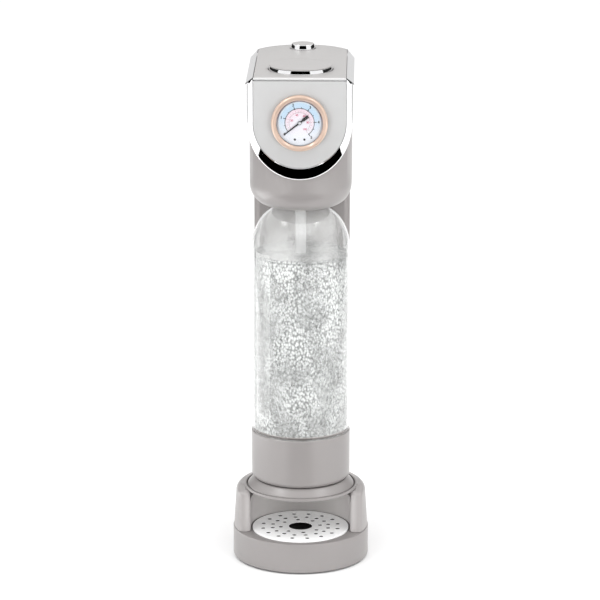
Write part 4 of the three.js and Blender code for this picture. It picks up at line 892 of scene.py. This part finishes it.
def build_bubbles():
    """Bubbles as small mirrored drops, thick along the front of the wall and spread through the water, and
    two sheets of foam.
    """
    random.seed(7)
    inside = bottle.r - 2.4 * MM
    low, high = cup.z0 + 8 * MM, WATER_TOP - 0.6 * MM
    ball = bmesh.new()
    bmesh.ops.create_icosphere(ball, subdivisions=1, radius=1.0)
    ball_points = np.array([v.co[:] for v in ball.verts])
    ball_faces = np.array([[v.index for v in f.verts] for f in ball.faces])
    ball.free()
    verts, faces = [], []
    for _ in range(BUBBLES):
        z = low + (high - low) * random.random()
        narrow = 40 * MM if z < cup.z1 else inside
        if random.random() < 0.55:
            a = random.uniform(math.pi * 1.02, math.pi * 1.98)
            r = narrow - random.uniform(0.6, 3.5) * MM
        else:
            a = random.uniform(0, 2 * math.pi)
            r = narrow * math.sqrt(random.random()) * 0.96
        size = random.choice((0.35, 0.45, 0.55, 0.7, 0.9, 1.15)) * MM
        r = min(r, narrow - size - 0.3 * MM)
        centre = np.array((r * math.cos(a), AXIS + r * math.sin(a), z))
        stretch = np.array((size, size, size * random.uniform(0.9, 1.5)))
        faces.append(ball_faces + len(verts) * len(ball_points))
        verts.append(ball_points * stretch + centre)
    drops = made_object("bubbles", np.concatenate(verts), np.concatenate(faces).tolist())
    dress(drops, bubble_mirror, "bottle")
    thin, floor, waist, bulge = 0.3 * MM, cup.z0 + 9 * MM, cup.z1 - 1 * MM, cup.z1 + 4 * MM
    sheets = (("foam_outer", inside - 1 * MM, haze_outer), ("foam_inner", 24 * MM, haze_inner))
    for name, radius, look in sheets:
        narrow, upper = min(radius, 37 * MM), WATER_TOP - 1 * MM
        sheet = lathe(name, [(narrow, floor), (narrow, waist), (radius, bulge), (radius, upper),
                             (radius - thin, upper), (radius - thin, bulge), (narrow - thin, waist),
                             (narrow - thin, floor)], sides=96)
        dress(sheet, look, "bottle")


def build_foam_top():
    """A thin layer of foam on the water, and mist on the inside of the dome: condensation, and painted light
    for the brightness that the glass and foam scatter there.
    """
    radius = bottle.r - 2.1 * MM
    half = radius * 0.5
    levels = ((0, 0.1), (half, 0.15), (radius, 0.2), (radius, 1.5), (half, 0.6), (0, 0.5))
    foam = lathe("foam_top", [(r, WATER_TOP + rise * MM) for r, rise in levels], sides=96)
    dress(foam, haze_outer, "bottle")
    points = [(radius, DOME_LOW - 3 * MM), *dome(radius, 43 * MM, 17 * MM, 20)]
    inner = [(r - 0.25 * MM, z - 0.1 * MM) for r, z in reversed(points)]
    dress(lathe("mist", points + inner, sides=96), mist, "bottle")


# Gauge

def on_dial(x, z, depth):
    """A point before the dial's face, measured from its middle."""
    return Vector((x, dial.y0 - depth, dial.cz + z))


def tick(start, end, angle, width):
    """A straight mark, in millimetres from the scale's line."""
    radius_in, radius_out = SCALE_RADIUS + start * MM, SCALE_RADIUS + end * MM
    along = Vector((math.cos(math.radians(angle)), math.sin(math.radians(angle))))
    across = Vector((-along.y, along.x)) * width * MM / 2
    corners = [along * radius_in - across, along * radius_out - across,
               along * radius_out + across, along * radius_in + across]
    return skin("tick", [[on_dial(p.x, p.y, depth) for p in corners] for depth in INK])


def curved_line(radius, width):
    """A line along the scale's whole sweep."""
    loops = []
    low, high = INK
    for a in np.radians(np.linspace(SCALE_START, SCALE_START - SCALE_SWEEP, SCALE_SWEEP // 3 + 1)):
        loops.append([on_dial(math.cos(a) * r, math.sin(a) * r, depth) for r, depth in
                      ((radius - width / 2, low), (radius + width / 2, low),
                       (radius + width / 2, high), (radius - width / 2, high))])
    return skin("line", loops)


def number(text, offset, angle, height):
    """A raised number, upright, placed in millimetres from the scale's line."""
    a, radius, size = math.radians(angle), SCALE_RADIUS + offset * MM, height * MM
    curve = bpy.data.curves.new("number", "FONT")
    curve.body = text
    curve.size = size
    curve.extrude = 0.03 * MM
    curve.offset = size * 0.03
    curve.align_x = curve.align_y = "CENTER"
    obj = linked("number", curve)
    bpy.context.view_layer.update()
    mesh = bpy.data.meshes.new_from_object(obj.evaluated_get(bpy.context.evaluated_depsgraph_get()))
    bpy.data.objects.remove(obj)
    place = on_dial(radius * math.cos(a), radius * math.sin(a), 0.05 * MM)
    mesh.transform(Matrix.Translation(place) @ Matrix.Rotation(math.pi / 2, 4, "X"))
    return linked("number", mesh)


def build_scale():
    """The black outer scale from 0 to 5 and the red inner one from 0 to 100."""
    marks = [curved_line(SCALE_RADIUS, 0.4 * MM), curved_line(INNER_LINE, 0.15 * MM)]
    red_marks = []
    steps, red_steps = 50, 20
    for i in range(steps + 1):
        angle = SCALE_START - SCALE_SWEEP * i / steps
        if i % 10 == 0:
            marks.append(tick(-0.9, 1.9, angle, 0.62))
            marks.append(number(str(i // 10), 3.6, angle, 3.3))
            red_marks.append(number(str(i * 2), -5.6, angle, 2.4))
        elif i % 5 == 0:
            marks.append(tick(-0.8, 1.1, angle, 0.42))
        else:
            marks.append(tick(-0.7, 0, angle, 0.3))
    for i in range(red_steps + 1):
        red_marks.append(tick(-2.9, -2.1, SCALE_START - SCALE_SWEEP * i / red_steps, 0.3))
    dress(joined("scale_marks", *marks), black)
    dress(joined("inner_scale_marks", *red_marks), inner_ink)


def build_gauge():
    outer, inner = bezel.r, dial.r
    front, back = bezel.y0 - plate.y0, bezel.y1 - plate.y0
    body = (outer - inner) / 2
    rim = [(inner + 1.7 * MM, back), (outer, back), (outer, front + body)]
    rim += arc(outer - body * 0.9, front + body, body * 0.9, 0, 90, 10, -body)[1:]
    rim += [(outer - body * 1.35, front + 0.25 * MM),
            *near(inner, front, (0.5, 1.5), (0, 2.1), (0, 2.6), (1.7, 2.6))]
    dress(turned_along_y("gauge_rim", rim), copper, replaces=["gauge_bezel"])
    face = turned_along_y("dial_plate", bar(1.2 * MM, inner, 0, 0.8 * MM))
    dress(face, dial_material(), replaces=["gauge_dial"])
    pane_front, pane_back = lens.y0 - plate.y0, lens.y1 - plate.y0
    pane = turned_along_y("gauge_pane", [(0, pane_back), (lens.r, pane_back), (lens.r, pane_front),
                                         (lens.r * 0.6, pane_front), (0, pane_front)], 96)
    dress(pane, lens_clear, replaces=["gauge_lens"])
    build_scale()
    profile = softened(bar(0, 1.0 * MM, -0.02 * MM, -0.3 * MM), 0.15 * MM)
    screws = []
    for x in (-DIAL_SCREW_SIDE, DIAL_SCREW_SIDE):
        screws.append(turned_along_y("dial_screw", profile, 24))
        for v in screws[-1].data.vertices:
            v.co.x += x
            v.co.z -= DIAL_SCREW_DROP
    dress(joined("dial_screws", *screws), dark_plastic)


def build_needle():
    """A tapered pointer with a thick tail and a domed hub."""
    turn = Matrix.Translation((dial.cx, 0, dial.cz)) @ Matrix.Rotation(-math.radians(SCALE_START), 4, "Y")
    front, back, length = plate.y0 - 1.1 * MM, plate.y0 - 0.3 * MM, 17.3 * MM
    side = near(0, 0, (16.7, 0.28), (2.0, 0.7), (-3.2, 0.7), (-4.0, 1.3), (-9.1, 1.3), (-9.4, 1.0))
    outline = [(length, 0.0), *side, *((x, -z) for x, z in reversed(side))]
    hand = drawn_back("hand", outline, front, back, 0.1 * MM)
    hand.data.transform(turn)
    dress(hand, black, "needle", ["gauge_needle"])
    hub = turned_along_y("needle_hub", near(0, 0, (0, -2.0), (0.6, -1.95), (1.3, -1.7), (1.7, -1.3),
                                            (1.7, -1.05), (0, -1.05)), 48)
    dress(hub, steel, "needle")
    second_look(hub, black, lambda centre, normal: abs(normal.y) < 0.75)


# Nozzle, springs and the CAD nodes that stay

def build_nozzle():
    bore = 2.3 * MM
    pipe = bar(tube.r - 1.2 * MM, tube.r, tube.z0, tube.z1)
    dress(lathe("nozzle_pipe", softened(pipe, 0.5 * MM, 4, closed=True), sides=64), nozzle_white,
          replaces=["nozzle_tube"])
    end = [(bore, tip.z0), (tip.r * 0.8, tip.z0), (tip.r, tip.z0 + 2 * MM), (tip.r, tip.z1), (bore, tip.z1)]
    dress(lathe("nozzle_end", softened(end, 0.4 * MM, 3, closed=True), sides=64), nozzle_white,
          replaces=["nozzle_tip"])


def build_springs():
    """The four springs, with the CAD's own coils."""
    springs = (("rest_spring_1", "rest_drop", 9 * MM), ("rest_spring_2", "rest_drop", 9 * MM),
               ("button_spring", "button_press", 6 * MM), ("vent_spring", "vent_press", 3 * MM))
    for name, joint, travel in springs:
        coil = linked(name + "_coil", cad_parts[name].data.copy())
        dress(coil, steel, replaces=[name])
        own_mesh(coil)


def dress_cad_nodes():
    """Gives the pieces inside, which keep the CAD's shape, their materials."""
    groups = (
        (rubber, "foot_ring rear_foot cylinder_pad bottle_seal"),
        (steel, "base_screw_1 base_screw_2 base_screw_3 base_screw_4 head_screw_1 head_screw_2 gauge_case"),
        (steel, "valve_lever valve_pin lever_bracket lever_pin button_stem vent_stem"),
        (brass, "gas_block valve_block cylinder_valve relief_valve bourdon_tube gauge_pipe"),
        (dark_plastic, "base_plate cylinder_guide_left cylinder_guide_right button_well vent_valve"),
        (hose, "gas_hose vent_hose"),
        (gas_paint, "gas_cylinder"),
    )
    for look, names in groups:
        for name in names.split():
            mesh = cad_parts[name].data
            mesh.materials.clear()
            mesh.materials.append(look)


# Studio

def faded(tree, light):
    """Lets a lit card fade out towards its edges."""
    coords = add_node(tree, "TexCoord")
    centred = add_node(tree, "Mapping", Location=(-1, -1, -1), Scale=(2, 2, 2))
    ball = add_node(tree, "TexGradient")
    ball.gradient_type = "QUADRATIC_SPHERE"
    clear = add_node(tree, "BsdfTransparent")
    mix = add_node(tree, "MixShader")
    wire(tree, (coords, "Generated", centred, "Vector"), (centred, "Vector", ball, "Vector"),
         (ball, "Fac", mix, "Fac"), (clear, "BSDF", mix, 1), (light, "Emission", mix, 2),
         (mix, "Shader", tree.nodes["Material Output"], "Surface"))


def card(name, corners, shade, soft=False):
    """A card that only shows in polished surfaces: black at shade 0, else lit."""
    obj = made_object(name, corners, [(0, 1, 2, 3)])
    made, tree, _ = new_material(name)
    light = add_node(tree, "Emission", Color=(1, 1, 1, 1) if shade else (0, 0, 0, 1), Strength=shade)
    wire(tree, (light, "Emission", tree.nodes["Material Output"], "Surface"))
    if soft:
        faded(tree, light)
    obj.data.materials.append(made)
    obj.visible_camera = obj.visible_diffuse = obj.visible_transmission = obj.visible_shadow = False
    return obj


def flat_card(name, near_half, near_y, far_half, far_y, z):
    """A black card over the floor before the part, wider at its far edge."""
    card(name, [(-near_half, near_y, z), (near_half, near_y, z),
                (far_half, far_y, z), (-far_half, far_y, z)], 0)


def standing_card(name, start, end, low, high, shade):
    return card(name, [(*start, low), (*end, low), (*end, high), (*start, high)], shade)


def build_cards():
    """What the polished trim and the bottle reflect: dark in front and behind, lit at the sides."""
    flat_card("floor_card", 0.12, -0.22, 0.45, -1.1, 0.002)
    flat_card("far_floor_card", 0.45, -1.1, 0.5, -2.6, 0.002)
    flat_card("band_card", 0.3, -0.2, 0.34, -0.62, 0.12)
    standing_card("front_card", (-1.4, -2.0), (1.4, -2.0), 0.62, 1.9, 0)
    near_y, far_y, low, high = -1.05, 0.45, 1.4, 2.3
    for side, glow in ((-1, 14.0), (1, 9.0)):
        standing_card(f"side_card_{side + 1}", (side * 2.0, -0.1), (side * 1.0, 1.73), 0.02, 1.0, 0.02)
        out, over = side * 1.35, side * 0.65
        card(f"glow_{side + 1}", [(out, near_y, low), (out, far_y, low), (over, far_y, high),
                                  (over, near_y, high)], glow, soft=True)
    for side in (-1, 1):
        edge = standing_card(f"edge_card_{side + 1}", (side * 0.8, 0.1), (side * 0.8, 1.1), 0.003, 0.45, 0.12)
        edge.visible_transmission = True
        edge.visible_glossy = False
    standing_card("rear_card", (-1.2, 2.2), (1.2, 2.2), 0.2, 0.75, 0.74)
    standing_card("strip", (-0.42, -0.16), (-0.36, 0.2), 0.015, 0.2, 3.6)


def area(name, location, target, size, power):
    """A lamp that no surface mirrors and that can't be seen through the bottle."""
    light = bpy.data.lights.new(name, "AREA")
    light.shape = "RECTANGLE"
    light.size, light.size_y = size
    light.energy = power
    obj = linked(name, light)
    obj.location = location
    obj.rotation_euler = (Vector(target) - Vector(location)).to_track_quat("-Z", "Y").to_euler()
    obj.visible_glossy = obj.visible_transmission = obj.visible_camera = False


def build_lights():
    world = bpy.data.worlds.new("studio")
    world.use_nodes = True
    set_inputs(world.node_tree.nodes["Background"], Color=(1, 1, 1, 1), Strength=1.0)
    scene.world = world
    foot, middle = (0, AXIS, 0.06), (0, AXIS, 0.22)
    area("left_high", (-1.05, -0.25, 1.5), foot, (0.7, 0.7), 6.5)
    area("right_high", (1.05, -0.25, 1.5), foot, (0.7, 0.7), 7.4)
    area("left_front", (-1.6, -1.9, 0.35), middle, (1.1, 0.6), 17)
    area("right_front", (1.6, -1.9, 0.35), middle, (1.1, 0.6), 17)
    sun = bpy.data.lights.new("sky", "SUN")
    sun.energy = 0.6
    sun.angle = math.radians(70)
    sky = linked("sky", sun)
    sky.rotation_euler = (math.radians(25), 0, 0)
    sky.visible_glossy = False


def build_studio():
    size = 30
    floor = made_object("floor", [(-size, -size, 0), (size, -size, 0), (size, size, 0), (-size, size, 0)],
                        [(0, 1, 2, 3)])
    floor.data.materials.append(material("floor_white", (0.9, 0.9, 0.9), 0.6, scale=3, grain=0.004, bump=0.0))
    build_lights()
    build_cards()
    scene.view_settings.view_transform = "Standard"
    scene.view_settings.look = "None"
    scene.cycles.transparent_max_bounces = 32
    scene.cycles.transmission_bounces = 16
    scene.cycles.max_bounces = 16


def build_camera():
    """The camera, with the pitch and distance fitted to the photo."""
    data = bpy.data.cameras.new("camera")
    data.lens, data.sensor_width, data.clip_end, data.shift_x = 192, 36, 100, -0.0013
    camera = linked("camera", data)
    pitch, yaw, distance = math.radians(14.8), math.radians(1.2), 2.832
    target = Vector((0.0, AXIS, 0.2358))
    back = Vector((math.sin(yaw) * math.cos(pitch), -math.cos(yaw) * math.cos(pitch), math.sin(pitch)))
    camera.location = target + back * distance
    camera.rotation_euler = (-back).to_track_quat("-Z", "Y").to_euler()
    scene.camera = camera


build_camera()
build_base()
build_drum()
build_rest()
build_tray()
build_column()
build_head()
build_front_plate()
build_top()
build_trim()
build_buttons()
build_bottle()
build_bubbles()
build_foam_top()
build_gauge()
build_needle()
build_nozzle()
build_springs()
dress_cad_nodes()
build_studio()
